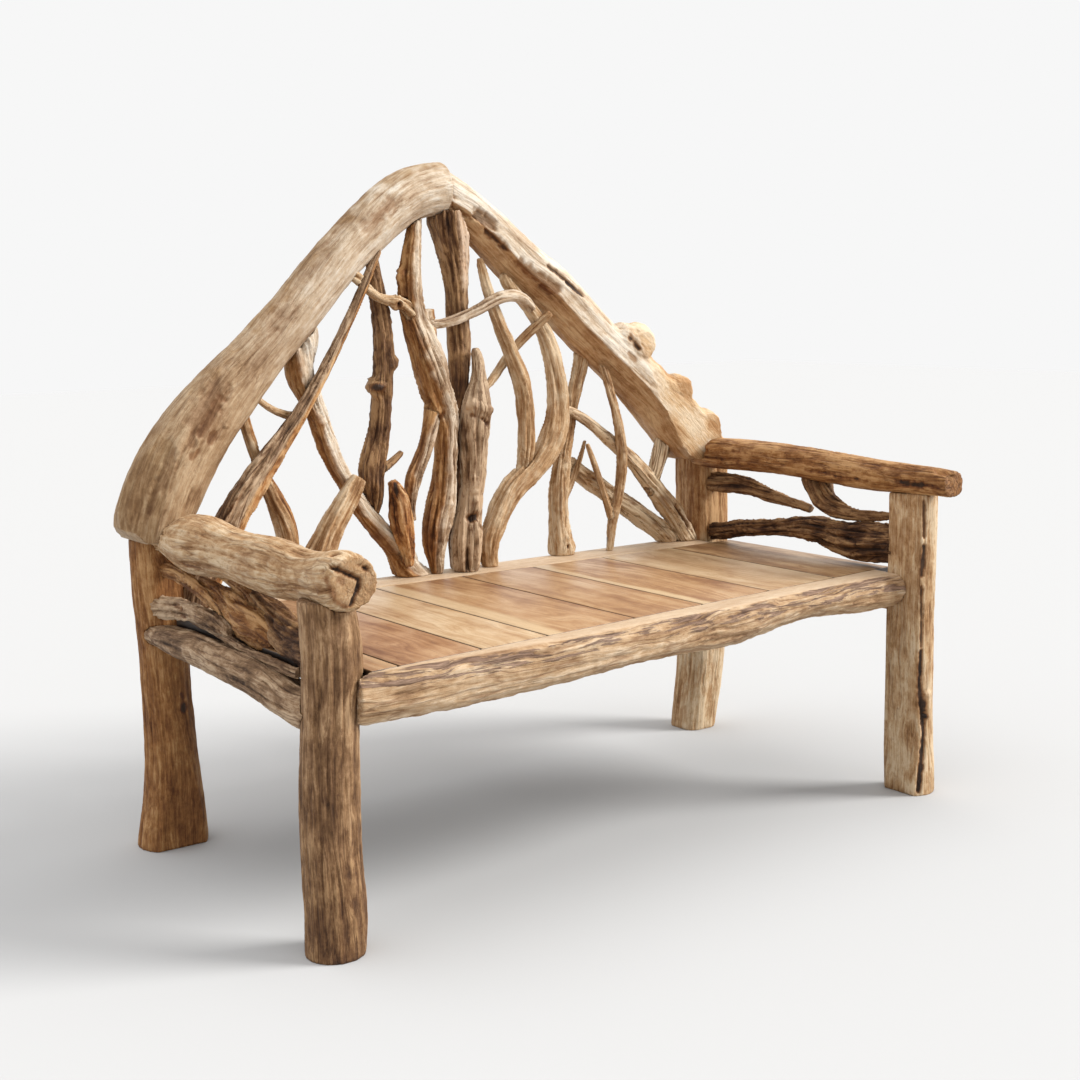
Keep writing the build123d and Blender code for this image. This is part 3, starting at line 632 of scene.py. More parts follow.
def driftwood(name, shades, grey, tone, patchy, streaky, cracked, other):
    """Weathered wood: ragged patches, streaks and fibres along the grain, grey weathering,
    grooves and thin checks darkened with painted shade. Other shades, if any, take over on one
    side of the log. cracked is how much grooves, checks and pits show."""
    g = Graph(name)
    grain, ridge_wear_and_hollow_shade, scar, pale, sawn = map(g.attribute, ("grain", "ridge_wear_and_hollow_shade", "scar", "pale", "sawn"))
    bent = g.bend(grain, g.noise(grain, (6, 20, 20), 2), (0, 0.009, 0.009))
    patch = g.noise(bent, (9, 15, 15), 5, 0.6)
    streak = g.noise(bent, (6, 100, 100), 6, 0.65)
    fibre = g.noise(bent, (17, 215, 215), 5, 0.75)
    mottle = g.noise(bent, (44, 58, 58), 6, 0.75)
    groove = g.times(g.lines(bent, (3.4, 44, 44), 0.07), g.spread(patch, 0.75, 0.35))
    check_places = g.spread(g.noise(grain, (8, 30, 30), 2), 0.4, 0.7)
    check = g.times(g.lines(bent, (4.5, 80, 80), 0.05), check_places)
    pit = g.spread(g.noise(bent, (60, 190, 190), 2), 0.88, 0.98)
    # The relief lightens worn ridges and darkens flutes and cracks with painted shade
    level = g.weigh(((patch, patchy), (streak, streaky), (fibre, 0.38), (mottle, 0.26)),
                    g.times(ridge_wear_and_hollow_shade, 0.14 + 0.2 * cracked), 0.5)
    level = g.plus(level, 0.55 + tone)
    wood = g.ramp(level, zip(LOG_STOPS, shades))
    # Other shades on one side: painted shade on the gable beams and partly on some branches
    if other:
        wood = g.mix(g.attribute("side"), wood, g.ramp(level, zip(LOG_STOPS, other)))
    worn = g.spread(g.noise(grain, (5, 15, 15), 4), 0.45, 0.8)
    wood = g.mix(g.times(worn, grey), wood, g.tint(wood, (0.76, 0.70, 0.65)))
    fresh = g.ramp(g.weigh(((patch, 0.65), (fibre, 0.35))),
                   [(0.15, colour(186, 138, 88)), (0.45, colour(222, 184, 138)),
                    (0.8, colour(244, 220, 186))])
    wood = g.mix(pale, wood, fresh)
    rings = g.noise(grain, (4, 130, 130), 5, 0.7)
    wood = g.mix(g.times(sawn, 0.6), wood, g.mix(rings, shades[1], shades[2]))
    bare = g.times(g.minus(1.0, g.times(pale, 0.8)), cracked)
    groove = g.times(groove, bare)
    check = g.times(check, bare)
    # Grooves and checks go dark with painted shade in these recesses, and pits are dark flecks
    sunk = g.maths("MAXIMUM", g.times(g.times(pit, bare), 0.8),
                   g.maths("MAXIMUM", g.times(groove, 0.7), check))
    wood = g.mix(sunk, wood, g.tint(wood, (0.34, 0.22, 0.14)))
    wood = g.mix(g.spread(scar, 0.0, 0.6), wood, g.tint(wood, (0.52, 0.37, 0.25)))
    # Near-black where marks are darkest: painted shade inside deep holes and cracks, and dark spots
    # of the wood
    dark_spot_and_hole_shade = g.mix(mottle, colour(30, 18, 11), colour(76, 50, 31))
    wood = g.mix(g.spread(scar, 0.5, 1.0), wood, dark_spot_and_hole_shade)
    height = g.weigh(((streak, 0.45), (fibre, 0.35), (mottle, 0.35), (groove, -1.0), (check, -1.0)))
    return g.finish(wood, g.spread(level, 0, 1, 0.85, 0.6), height, 0.0022, 0.9)


def board(name, shades, sapwood):
    """Planed seat board with a satin finish: long flowing figure, fine pores, paler sapwood
    along one edge, and painted shadow in the seams on the board's sides and underside."""
    g = Graph(name)
    grain, edge, seam_shadow = map(g.attribute, ("grain", "edge", "seam_shadow"))
    flow = g.noise(grain, (2.2, 8, 8), 3)
    bent = g.bend(grain, flow, (0, 0.05, 0))
    figure = g.noise(bent, (1.6, 24, 24), 4, 0.6)
    bands = g.noise(bent, (2.0, 120, 120), 4, 0.6)
    fibre = g.noise(grain, (16, 700, 700), 4, 0.7)
    cloud = g.noise(grain, (9, 16, 16), 4, 0.65)
    level = g.weigh(((figure, 0.36), (bands, 0.26), (fibre, 0.16), (cloud, 0.34)))
    dark = shades[0]
    wood = g.ramp(level, zip((0.2, 0.56, 0.92), shades))
    ragged_edge = g.weigh([(flow, 0.2)], edge, 0.5)
    wood = g.mix(g.times(g.spread(ragged_edge, 0.84, 0.93), sapwood), wood, colour(222, 192, 150))
    rings = g.lines(bent, (1.1, 34, 34), 0.02)
    wood = g.mix(g.times(rings, 0.3), wood, dark)
    pores = g.spread(g.noise(grain, (40, 1100, 1100), 2), 0.78, 0.95)
    wood = g.mix(g.times(pores, 0.35), wood, dark)
    # Painted shadow in the seams: the board's sides and underside go near-black
    wood = g.mix(seam_shadow, wood, colour(34, 20, 12))
    height = g.weigh(((fibre, 0.5), (bands, 0.5)))
    return g.finish(wood, g.spread(level, 0, 1, 0.5, 0.36), height, 0.0004, 0.5, 0.15)


def live_edge(name):
    """Front rail: planed cream top, strips of bark left on the shoulder, beige live edge."""
    g = Graph(name)
    grain, bark, ridge_wear_and_hollow_shade, planed = map(g.attribute, ("grain", "bark", "ridge_wear_and_hollow_shade", "planed"))
    bent = g.bend(grain, g.noise(grain, (5, 18, 18), 2), (0, 0.012, 0.012))
    broad = g.noise(bent, (5, 40, 40), 5, 0.6)
    streaks = g.noise(bent, (9, 130, 130), 5, 0.65)
    fibre = g.noise(bent, (26, 420, 420), 4, 0.7)
    mottle = g.noise(bent, (45, 80, 80), 5, 0.7)
    groove = g.lines(bent, (4.5, 60, 60), 0.06)
    # The relief lightens worn ridges and darkens flutes and cracks with painted shade
    level = g.weigh(((broad, 0.4), (streaks, 0.22), (fibre, 0.3), (mottle, 0.3)),
                    g.times(ridge_wear_and_hollow_shade, 0.16), 0.5)
    level = g.plus(level, 0.56)
    raw = g.ramp(level, [(0.05, colour(118, 84, 54)), (0.35, colour(176, 138, 98)),
                         (0.62, colour(202, 168, 130)), (0.95, colour(228, 202, 170))])
    flat = g.ramp(level, [(0.1, colour(196, 160, 124)), (0.5, colour(216, 186, 152)),
                          (0.9, colour(230, 204, 172))])
    wood = g.mix(planed, raw, flat)
    peel = g.spread(g.weigh([(streaks, 0.9)], bark, 0.5), 0.5, 0.62)
    bark_shade = g.ramp(fibre, [(0.1, colour(88, 62, 50)), (0.9, colour(156, 124, 104))])
    wood = g.mix(g.times(peel, 0.85), wood, bark_shade)
    # Grooves go dark with painted shade, less on the planed top
    sunk = g.times(groove, g.minus(0.5, g.times(planed, 0.45)))
    wood = g.mix(sunk, wood, g.tint(wood, (0.36, 0.24, 0.16)))
    height = g.weigh(((streaks, 0.5), (fibre, 0.3), (peel, 0.4), (sunk, -1.0)))
    return g.finish(wood, g.weigh([(planed, -0.22)], 0.72), height, 0.0016)


def plain(name, first, second, stretch, metal=0.0, rough=0.6):
    """Simple streaked finish for dowels, pegs and screws."""
    g = Graph(name)
    place_at = g.add("ShaderNodeTexCoord").outputs["Object"]
    streaks = g.noise(place_at, stretch, 3)
    return g.finish(g.mix(streaks, first, second), rough, streaks, 0.0003, metal=metal)


# ------------------------ logs, branches and roots
TAN = palette((98, 60, 30), (162, 118, 74), (202, 162, 117), (234, 207, 170))
PALE = palette((132, 98, 66), (200, 170, 138), (230, 208, 180), (246, 234, 216))
POST = palette((62, 38, 18), (112, 78, 45), (150, 112, 74), (198, 160, 119))
BROWN = palette((64, 34, 12), (122, 74, 33), (160, 108, 56), (204, 156, 102))
DARK = palette((36, 19, 8), (78, 48, 25), (122, 84, 49), (176, 136, 92))
ASH = palette((46, 28, 15), (106, 78, 52), (158, 124, 90), (212, 182, 148))
GREY = palette((54, 36, 22), (134, 102, 73), (198, 167, 133), (240, 220, 194))
ORANGE = palette((74, 40, 17), (150, 94, 48), (202, 146, 88), (232, 190, 138))
FACE = palette((166, 118, 80), (200, 154, 114), (220, 182, 146), (234, 206, 178))
# Painted shade for the underside and hewn lower edge of the right gable beam
SHADED_UNDERSIDE = palette((110, 70, 36), (164, 118, 74), (198, 152, 104), (222, 184, 138))
# Painted shade for the upper-left side and hewn foot of the left gable beam; it also covers its
# lower end
SHADED = palette((90, 58, 30), (138, 102, 65), (170, 134, 93), (200, 168, 128))

LOG_LOOK = dict(swell=0.06, flute=0.04, flutes=3.4, gnarl=0.03, crack=0.06, splits=2.6, twist=0.3)
ROOT_LOOK = dict(swell=0.2, flute=0.17, flutes=1.6, gnarl=0.11, crack=0.16, splits=1.5, twist=1.6,
                 foot=SEAT_TOP)
TWISTED_LOOK = dict(swell=0.2, flute=0.2, flutes=1.7, gnarl=0.15, crack=0.18, splits=1.5, twist=2.4)
RAIL_LOOK = dict(swell=0.07, flute=0.06, flutes=2.2, gnarl=0.09, crack=0.05, splits=2.0, twist=0.0)
BEAM_LOOK = dict(swell=0.1, flute=0.04, flutes=1.8, gnarl=0.05, crack=0.05, splits=2.0, twist=0.6)

X, Y, Z = range(3)
# Sawn planes: the floor, the underside and top of the seat boards, and the joint of the beams
FOOT, BOARD_FOOT, BOARD_TOP, MITRE = (Z, 0), (Z, 426), (Z, 450), (X, -38)
# name: (side of its sections, look, sawn planes, finish), with a finish of shades, greyness,
# tone, patchiness, streaks and how cracked it is
LOG_STYLES = {
    "front_left_post": (ALONG_X, LOG_LOOK, [FOOT], (POST, 0.2, 0.02, 0.3, 0.25, 0.6)),
    "front_right_post": (ALONG_X, LOG_LOOK, [FOOT, (X, 636)], (TAN, 0.0, 0.1, 0.35, 0.3, 0.4)),
    "rear_left_post": (ALONG_X, LOG_LOOK, [FOOT, (Y, 303)], (BROWN, 0.0, -0.02, 0.25, 0.18, 0.3)),
    "rear_right_post": (ALONG_X, LOG_LOOK, [FOOT], (TAN, 0.0, 0.18, 0.4, 0.25, 0.3)),
    "left_gable_beam": (ALONG_Y, BEAM_LOOK, [MITRE, (Z, 580)], (PALE, 0.3, 0.02, 0.38, 0.16, 0.3)),
    "right_gable_beam": (ALONG_Y, BEAM_LOOK, [MITRE, (Z, 640)], (PALE, 0.1, 0.06, 0.4, 0.2, 0.25)),
    "left_arm": (ALONG_X, LOG_LOOK, [], (TAN, 0.35, 0.04, 0.24, 0.16, 0.45)),
    "right_arm": (ALONG_X, LOG_LOOK, [], (BROWN, 0.1, 0.16, 0.5, 0.35, 0.7)),
    "left_side_rail": (ALONG_X, BEAM_LOOK, [BOARD_FOOT], (ASH, 0.1, 0.02, 0.34, 0.2, 0.6)),
    "right_side_rail": (ALONG_X, BEAM_LOOK, [BOARD_FOOT], (BROWN, 0.3, 0.0, 0.4, 0.35, 0.7)),
}
# Logs with other shades on one side, painted shade on the gable beams: (its shades, its side,
# where it starts, where it is full, how ragged the border is). The side is 1 for the upper edge
# of a log in the gable, -1 for below.
NO_SIDE = (1, 2, 3, 0.3)
SIDES = {
    "front_left_post": (DARK, *NO_SIDE), "rear_right_post": (BROWN, *NO_SIDE),
    # Painted shade on the upper-left side of the left beam
    "left_gable_beam": (SHADED, 1, 0.3, 1.2, 0.7),
    # Painted shade on the underside of the right beam
    "right_gable_beam": (SHADED_UNDERSIDE, -1, 0.84, 0.92, 0.02),
    # Branches 03, 07 and 08 are darker on their left side, away from the key light: partly the
    # wood's own colour and partly painted shade. The brown of 01 and the orange of 02 are the
    # wood's own colour.
    "back_branch_01": (BROWN, 1, 0.1, 0.6, 0.4), "back_branch_02": (ORANGE, -1, 0.1, 0.35, 0.5),
    "back_branch_03": (BROWN, -1, 0.1, 0.6, 0.4), "back_branch_07": (BROWN, -1, 0.0, 0.6, 0.7),
    "back_branch_08": (DARK, -1, -0.1, 0.2, 0.3),
}
# Finish of each back branch by its number, and of each root under the arms
BRANCH_STYLES = {
    "01": (TAN, 0.1, 0.04, 0.4, 0.3, 0.5), "02": (ASH, 0.4, 0.0, 0.5, 0.4, 0.8),
    "03": (PALE, 0.0, 0.04, 0.3, 0.2, 0.4), "04": (TAN, 0.0, 0.0, 0.4, 0.35, 0.5),
    "05": (DARK, 0.4, 0.13, 0.5, 0.35, 0.9), "06": (ORANGE, 0.0, -0.1, 0.3, 0.6, 0.8),
    "07": (GREY, 0.1, 0.1, 0.5, 0.25, 0.65), "08": (FACE, 0.0, 0.06, 0.4, 0.25, 0.7),
    "09": (ASH, 0.0, 0.3, 0.6, 0.35, 0.8), "10": (GREY, 0.1, 0.16, 0.4, 0.3, 0.4),
    "11": (TAN, 0.0, 0.06, 0.5, 0.2, 0.35), "12": (TAN, 0.0, 0.12, 0.45, 0.2, 0.3),
    "13": (TAN, 0.0, 0.06, 0.4, 0.3, 0.4), "14": (TAN, 0.1, 0.04, 0.5, 0.35, 0.5),
    "15": (TAN, 0.0, 0.28, 0.5, 0.4, 0.9), "16": (TAN, 0.0, 0.24, 0.5, 0.4, 0.9),
    "17": (TAN, 0.2, 0.04, 0.4, 0.4, 0.6), "18": (TAN, 0.1, 0.08, 0.5, 0.3, 0.6),
    "19": (TAN, 0.1, 0.0, 0.4, 0.4, 0.6),
}
ROOT_STYLES = {
    "left_arm_root_1": (BROWN, 0.1, 0.22, 0.6, 0.4, 0.8),
    "left_arm_root_2": (ASH, 0.2, 0.08, 0.6, 0.3, 0.7),
    "left_arm_root_3": (DARK, 0.0, -0.1, 0.5, 0.4, 0.7),
    "right_arm_root_1": (DARK, 0.0, 0.08, 0.4, 0.4, 0.8),
    "right_arm_root_2": (DARK, 0.0, -0.04, 0.5, 0.5, 1.0),
    "right_arm_root_3": (DARK, 0.0, 0.18, 0.5, 0.4, 0.8),
}


def on_front(y, marks):
    """Marks on the front of a beam at one y: (x, z, end x, end z, radius, depth, darkness)."""
    return [((x, y, z), (end_x, y, end_z), *rest) for x, z, end_x, end_z, *rest in marks]


# Grooves, holes and lumps: (start, end, radius, depth, darkness). A lump's depth is below zero.
MARKS = {
    "right_gable_beam": [
        *on_front(286, [
            (-37, 1206, -30, 1200, 7, 3, 0.8), (-45, 1188, 4, 1152, 15, 4, 0.6),
            (24, 1168, 58, 1150, 20, 8, 0.72), (50, 1130, 86, 1102, 17, 6, 0.85),
            (124, 1070, 168, 1042, 20, 5, 0.6), (165, 1046, 216, 1020, 18, 5, 0.6),
            (180, 1020, 200, 1008, 13, 4, 0.6), (10, 1190, 16, 1186, 6, 2, 0.5),
        ]),
        *on_front(276, [
            (404, 944, 414, 912, 11, 3, 1), (388, 950, 396, 922, 8, 2, 0.7),
            (513, 842, 517, 808, 6, 3, 0.2), (517, 806, 562, 782, 6, 3, 0.2),
            (588, 779, 589, 777, 6, 3, 0.8),
        ]),
        ((196, 286, 1068), (240, 288, 1040), 7, 4, 0.85),
        ((244, 286, 1036), (286, 288, 1008), 8, 5, 1),
        ((416, 280, 914), (432, 280, 890), 8, 2, 0.9),
        ((408, 282, 884), (424, 282, 868), 10, 2, 0.55),
    ],
    "left_arm": [
        ((-704, -346, 630), (-678, -366, 616), 6, 8, 1),
        ((-678, -366, 616), (-645, -366, 597), 6, 8, 1),
        ((-645, -366, 597), (-647, -366, 584), 6, 7, 1),
        ((-647, -366, 584), (-661, -366, 558), 5.5, 6, 1),
        ((-682, -330, 640), (-652, -358, 624), 7, 8, 1),
        ((-652, -358, 622), (-630, -362, 612), 6, 6, 1),
        ((-702, -348, 618), (-700, -364, 598), 10, 2, 0.6),
        ((-698, -364, 592), (-688, -366, 574), 11, 2, 0.5),
        ((-686, -366, 570), (-668, -366, 558), 9, 2, 0.55),
        ((-678, -366, 602), (-674, -366, 598), 9, 1, 0.4),
        ((-701, -234, 586), (-701, -236, 585), 7, 4, 1),
        ((-702, -264, 591), (-702, -266, 590), 7, 4, 1),
        ((-700, -257, 603), (-700, -255, 608), 7, 1, 0.5),
        ((-699, 196, 594), (-699, 192, 592), 6, 2, 0.8),
        ((-698, 150, 560), (-690, 60, 552), 6, 3, 0.7),
        ((-712, -340, 612), (-706, -340, 580), 14, -3, 0),
    ],
    "left_gable_beam": [
        *on_front(268, [
            (-566, 850, -590, 790, 56, 2, 0.34), (-552, 842, -562, 822, 24, 5, 0.6),
            (-574, 806, -586, 790, 22, 4, 0.5), (-584, 786, -600, 770, 13, 4, 0.6),
            (-560, 866, -552, 880, 11, 3, 0.55), (-590, 850, -578, 866, 16, 2, 0.35),
            (-574, 768, -580, 756, 14, 3, 0.6), (-612, 776, -616, 752, 12, 3, 0.4),
            (-606, 738, -620, 730, 10, 2, 0.5), (-549, 782, -541, 780, 8, -3, 0.1),
            (-660, 740, -676, 690, 26, 3, 0.3), (-520, 905, -500, 935, 32, 2, 0.38),
        ]),
        ((-692, 276, 700), (-706, 276, 640), 12, 4, 0.35),
        ((-440, 270, 960), (-410, 272, 1000), 34, 2, 0.36),
        ((-330, 276, 1066), (-300, 278, 1092), 16, 2, 0.25),
        ((-232, 278, 1146), (-180, 278, 1186), 26, 2, 0.4),
        ((-262, 278, 1040), (-252, 278, 1048), 6, 2, 0.4),
    ],
    "front_right_post": [
        ((641, -339, 600), (644, -341, 530), 7, 4, 0.8),
        ((644, -341, 510), (640, -339, 455), 9, 4, 0.9),
        ((640, -339, 430), (643, -340, 310), 6.5, 4, 0.85),
        ((643, -340, 300), (641, -339, 230), 8, 5, 1),
        ((641, -339, 230), (652, -343, 150), 10, 5, 1),
        ((652, -343, 150), (646, -342, 10), 8, 4, 1),
        ((658, -345, 205), (656, -345, 170), 14, -6, 0.1),
    ],
    "rear_left_post": [
        ((-639, 303, 270), (-641, 303, 262), 11, 1, 1),
        ((-644, 303, 293), (-640, 303, 284), 6, 1, 0.8),
    ],
    "right_arm": [
        ((628, -286, 637), (628, -345, 634), 13, 5, 1),
        ((628, -345, 634), (634, -390, 636), 10, 4, 1),
        ((623, -40, 640), (623, -130, 638), 7, 3, 0.9),
        ((622, -120, 634), (625, -215, 632), 7, 3, 0.9),
        ((640, -372, 668), (644, -420, 650), 14, 7, 0),
        ((622, 300, 658), (621, 262, 660), 11, 3, 0.9),
        ((622, 180, 664), (623, 60, 660), 7, 2, 0.8), ((625, 20, 660), (625, -40, 658), 6, 2, 0.7),
        ((624, -170, 650), (626, -240, 648), 6, 2, 0.7),
        ((622, 240, 646), (622, 150, 644), 7, 3, 0.8),
    ],
    "back_branch_05": [
        ((-194, 324, 834), (-198, 322, 834), 12, 12, 1),
        ((-196, 333, 834), (-200, 330, 834), 25, -15, 0),
        ((-160, 326, 882), (-160, 326, 876), 13, -7, 0.3),
    ],
    "back_branch_07": [
        ((-152, 314, 1057), (-150, 314, 1046), 22, -9, 0),
        ((-59, 306, 780), (-62, 306, 772), 10, 4, 0.7),
        ((-140, 306, 900), (-120, 300, 860), 7, 5, 0.8),
        ((-138, 308, 660), (-140, 308, 630), 15, -5, 0),
    ],
    "back_branch_18": [
        ((-160, 298, 996), (-160, 298, 996), 9, 8, 1),
        ((-160, 306, 996), (-160, 306, 996), 19, -6, 0),
    ],
    "back_branch_09": [
        ((-30, 282, 568), (4, 281, 562), 15, 9, 1), ((-9, 281, 690), (-12, 281, 655), 6, 4, 0.8),
        ((40, 286, 748), (22, 283, 762), 7, 5, 0.8), ((22, 283, 762), (2, 292, 770), 7, 5, 0.8),
        ((34, 286, 777), (4, 292, 792), 15, -7, 0), ((0, 281, 600), (0, 281, 640), 16, -5, 0),
    ],
    "back_branch_14": [
        ((267, 322, 470), (267, 322, 470), 6, 5, 1), ((304, 318, 905), (304, 318, 905), 6, 4, 1),
    ],
    "back_branch_03": [((-331, 316, 781), (-326, 316, 772), 13, -5, 0.3)],
    "back_branch_08": [((-50, 300, 1140), (-28, 306, 1010), 7, 6, 0.9)],
    "back_branch_16": [((560, 330, 476), (585, 325, 452), 12, 5, 0.8)],
    "back_branch_12": [((188, 300, 828), (205, 298, 812), 12, -5, 0.1)],
    "back_branch_11": [
        ((112, 306, 836), (110, 306, 830), 9, -4, 0.2),
        ((132, 306, 745), (134, 306, 730), 7, 3, 0.6),
    ],
    "back_branch_15": [((520, 300, 600), (600, 304, 480), 6, 5, 0.8)],
    "back_branch_06": [((-180, 296, 648), (-176, 296, 620), 8, 4, 1)],
    "back_branch_02": [((-600, 290, 560), (-470, 288, 700), 6, 5, 0.8)],
    "left_arm_root_2": [
        ((-694, 180, 478), (-694, 230, 484), 8, 5, 0.8),
        ((-694, 185, 462), (-694, 140, 458), 6, 6, 1), ((-692, 60, 462), (-692, 20, 456), 6, 5, 1),
    ],
    "right_arm_root_2": [
        ((634, 30, 520), (634, -40, 490), 6, 6, 0.9),
        ((634, -70, 520), (634, -170, 500), 6, 5, 0.8),
        ((634, -60, 490), (634, -190, 470), 6, 5, 0.8), ((640, 20, 476), (640, 10, 470), 12, -6, 0),
    ],
}


def driftwood_piece(kind, name, runs, side, look, sawn, finish):
    """Worn log or root in place of a CAD node."""
    mesh = weather(name, runs, side, look, sawn)
    other = SIDES[name][0] if name in SIDES else None
    collect(f"{kind}_{name}", mesh, name, driftwood(f"wood_{name}", *finish, other))


for name, (side, look, sawn, finish) in LOG_STYLES.items():
    driftwood_piece("log", name, [LOGS[name]], side, look, sawn, finish)
for number, (layer, runs) in BRANCHES.items():
    driftwood_piece("root", f"back_branch_{number}", gable_runs(layer, runs), ALONG_Y, ROOT_LOOK,
                    [BOARD_TOP], BRANCH_STYLES[number])
for name, runs in ARM_ROOTS.items():
    driftwood_piece("root", name, runs, ALONG_X, TWISTED_LOOK, [], ROOT_STYLES[name])


# ------------------------ rails
PLANED = (0.447, 0.4495)  # heights where the planed top of a rail starts and is full
SHOULDER = (0.408, 0.432)  # heights where the shoulder with its strips of bark does


def edged_rail(name, material):
    """Rail with a planed top and a rough natural edge below it."""
    mesh = weather(name, [LOGS[name]], ALONG_Y, RAIL_LOOK, [BOARD_TOP, BOARD_FOOT])
    points, normals = read(mesh, "co"), read(mesh, "normal")
    planed = step(points[:, 2], *PLANED) * step(normals[:, 2], 0.6, 0.9)
    shoulder = step(points[:, 2], *SHOULDER) * (1 - planed)
    patches = layered(points / (0.09, 0.05, 0.02), 5)
    store(mesh, "planed", planed)
    store(mesh, "bark", np.clip(0.55 * shoulder + 0.5 * patches * shoulder, 0, 1))
    collect(f"rail_{name}", mesh, name, material)


rail_finish = live_edge("live_edge")
for name in ("front_seat_rail", "rear_seat_rail", "rear_seat_ledger"):
    edged_rail(name, rail_finish)


# ------------------------ seat boards
BOARD_LIGHT = palette((160, 116, 74), (202, 166, 124), (226, 198, 160))
BOARD_BROWN = palette((140, 94, 58), (186, 142, 98), (216, 180, 138))
BOARD_RED = palette((120, 74, 44), (170, 124, 84), (204, 164, 124))
BOARD_TAN = palette((124, 84, 48), (174, 134, 92), (212, 178, 134))
# Shades of each board, and how much sapwood shows at its left and at its right edge
BOARDS = [
    (BOARD_BROWN, 0.0, 0.3), (BOARD_RED, 0.0, 0.0), (BOARD_LIGHT, 0.5, 0.0),
    (BOARD_BROWN, 0.8, 0.0), (BOARD_BROWN, 0.0, 0.0), (BOARD_BROWN, 0.9, 0.0),
    (BOARD_LIGHT, 0.0, 0.5), (BOARD_TAN, 0.0, 0.0),
]
BOARD_THICK, BEVEL = 0.024, 0.0024
SEAM_SHADOW = (0.0002, 0.0016)  # depths below the seat where the painted shadow of a seam starts and is full


def seat_board(number, shades, left, right):
    """Board cut to its CAD outline, with slightly eased edges."""
    node = f"seat_slat_{number}"
    bm = bmesh.new()
    bm.from_mesh(nodes[node].data)
    bmesh.ops.remove_doubles(bm, verts=bm.verts, dist=1e-5)
    rest = [f for f in bm.faces
            if f.normal.z <= 0.99 or f.calc_center_median().z <= SEAT_TOP - 0.001]
    bmesh.ops.delete(bm, geom=rest, context="FACES")
    bmesh.ops.dissolve_limit(bm, angle_limit=radians(3), verts=bm.verts, edges=bm.edges)
    made = bmesh.ops.extrude_face_region(bm, geom=list(bm.faces))
    lowered = [item for item in made["geom"] if isinstance(item, bmesh.types.BMVert)]
    bmesh.ops.translate(bm, verts=lowered, vec=(0, 0, -BOARD_THICK))
    bmesh.ops.recalc_face_normals(bm, faces=bm.faces)
    sharp = [e for e in bm.edges if len(e.link_faces) == 2 and e.calc_face_angle() > radians(25)]
    bmesh.ops.bevel(bm, geom=sharp, offset=BEVEL, segments=3, profile=0.5, affect="EDGES")
    mesh = bpy.data.meshes.new(node)
    bm.to_mesh(mesh)
    bm.free()
    points = read(mesh, "co")
    share = (points[:, 0] - points[:, 0].min()) / np.ptp(points[:, 0])
    store(mesh, "grain", points[:, [1, 0, 2]] + number * np.array([1.3, 0.71, 0.37]))
    store(mesh, "edge", 1 - share if left >= right else share)
    # Painted shadow in the seams, by depth below the seat top
    store(mesh, "seam_shadow", step(SEAT_TOP - points[:, 2], *SEAM_SHADOW))
    mesh.shade_smooth()
    mesh.set_sharp_from_angle(angle=radians(30))
    collect(f"board_{node}", mesh, node,
            board(f"board_{number}", shades, max(left, right)))


for number, (shades, left, right) in enumerate(BOARDS, start=1):
    seat_board(number, shades, left, right)


# ------------------------ dowels, pegs and screws
dowel_finish = plain("dowel_wood", colour(196, 160, 116), colour(168, 128, 86), (90, 90, 12))
steel_finish = plain("screw_steel", colour(176, 178, 182), colour(140, 142, 146), (60, 60, 60),
                     1.0, 0.35)
for name in ("arm_dowels", "gable_dowels", "rail_pegs", "slat_screws", "ledger_screws",
             "branch_screws"):
    data = nodes[name].data
    data.materials.clear()
    data.materials.append(steel_finish if "screws" in name else dowel_finish)


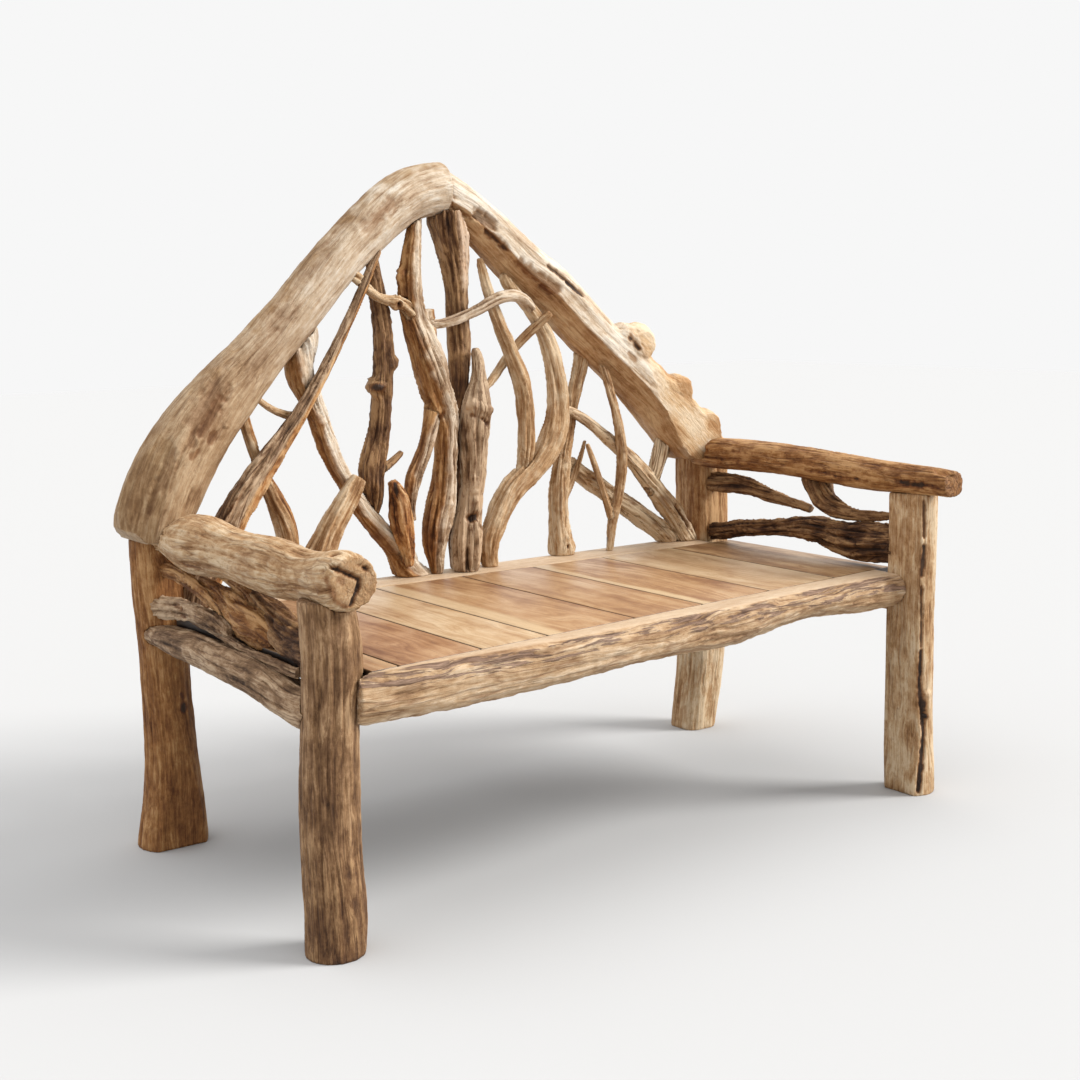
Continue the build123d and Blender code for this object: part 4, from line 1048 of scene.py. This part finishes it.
# ------------------------ studio
# The floor sends back as much light as the walls around it, so it runs into them unseen.
WALLS = 0.93
KEY_LIGHT, KEY_PLACE = 3.7, Vector((3.4, -2.5, 3.0))
TOP_LIGHT, TOP_PLACE = 0.9, Vector((-0.8, 0.6, 4.0))
key_height, top_height = KEY_PLACE.normalized().z, TOP_PLACE.normalized().z
open_light = WALLS + (KEY_LIGHT * key_height + TOP_LIGHT * top_height) / pi
FLOOR_SHADE = (*[WALLS / open_light] * 3, 1.0)
bpy.ops.mesh.primitive_plane_add(size=30, location=(0, 0, 0))
floor = bpy.context.object
floor.name = "floor"
g = Graph("floor")
shade = g.add("ShaderNodeBsdfPrincipled", Base_Color=FLOOR_SHADE, Roughness=1.0,
              Specular_IOR_Level=0.0)
g.add("ShaderNodeOutputMaterial", Surface=shade.outputs[0])
floor.data.materials.append(g.material)

world = bpy.data.worlds.new("studio")
scene.world = world
world.use_nodes = True
sky = world.node_tree.nodes["Background"]
sky.inputs[0].default_value = (1.0, 1.0, 1.0, 1.0)
sky.inputs[1].default_value = WALLS


def lamp(name, place_at, strength, spread_angle, tint):
    """Far soft lamp that shines from a place towards the bench."""
    data = bpy.data.lights.new(name, "SUN")
    data.energy = strength
    data.angle = radians(spread_angle)
    data.color = tint
    light = bpy.data.objects.new(name, data)
    light.location = place_at
    light.rotation_euler = place_at.to_track_quat("Z", "Y").to_euler()
    scene.collection.objects.link(light)


lamp("key", KEY_PLACE, KEY_LIGHT, 24, (1.0, 0.99, 0.97))
lamp("top", TOP_PLACE, TOP_LIGHT, 60, (1.0, 1.0, 1.0))

CAMERA_PLACE, LENS, SENSOR = (-1.8006, -2.3856, 1.0103), 53.07, 36
AZIMUTH, PITCH, ROLL = radians(-36.3445), radians(8.7626), radians(-0.6715)
back = Vector((sin(AZIMUTH) * cos(PITCH), -cos(AZIMUTH) * cos(PITCH), sin(PITCH)))
right = (-back).cross(Vector((0, 0, 1))).normalized()
up = right.cross(-back)
tilted_right = right * cos(ROLL) + up * sin(ROLL)
tilted_up = up * cos(ROLL) - right * sin(ROLL)
camera = bpy.data.objects.new("camera", bpy.data.cameras.new("camera"))
camera.data.sensor_width, camera.data.lens = SENSOR, LENS
turn = Matrix((tilted_right, tilted_up, back)).transposed().to_4x4()
camera.matrix_world = Matrix.Translation(CAMERA_PLACE) @ turn
scene.collection.objects.link(camera)
scene.camera = camera
scene.view_settings.view_transform = "Standard"

bpy.context.view_layer.update()
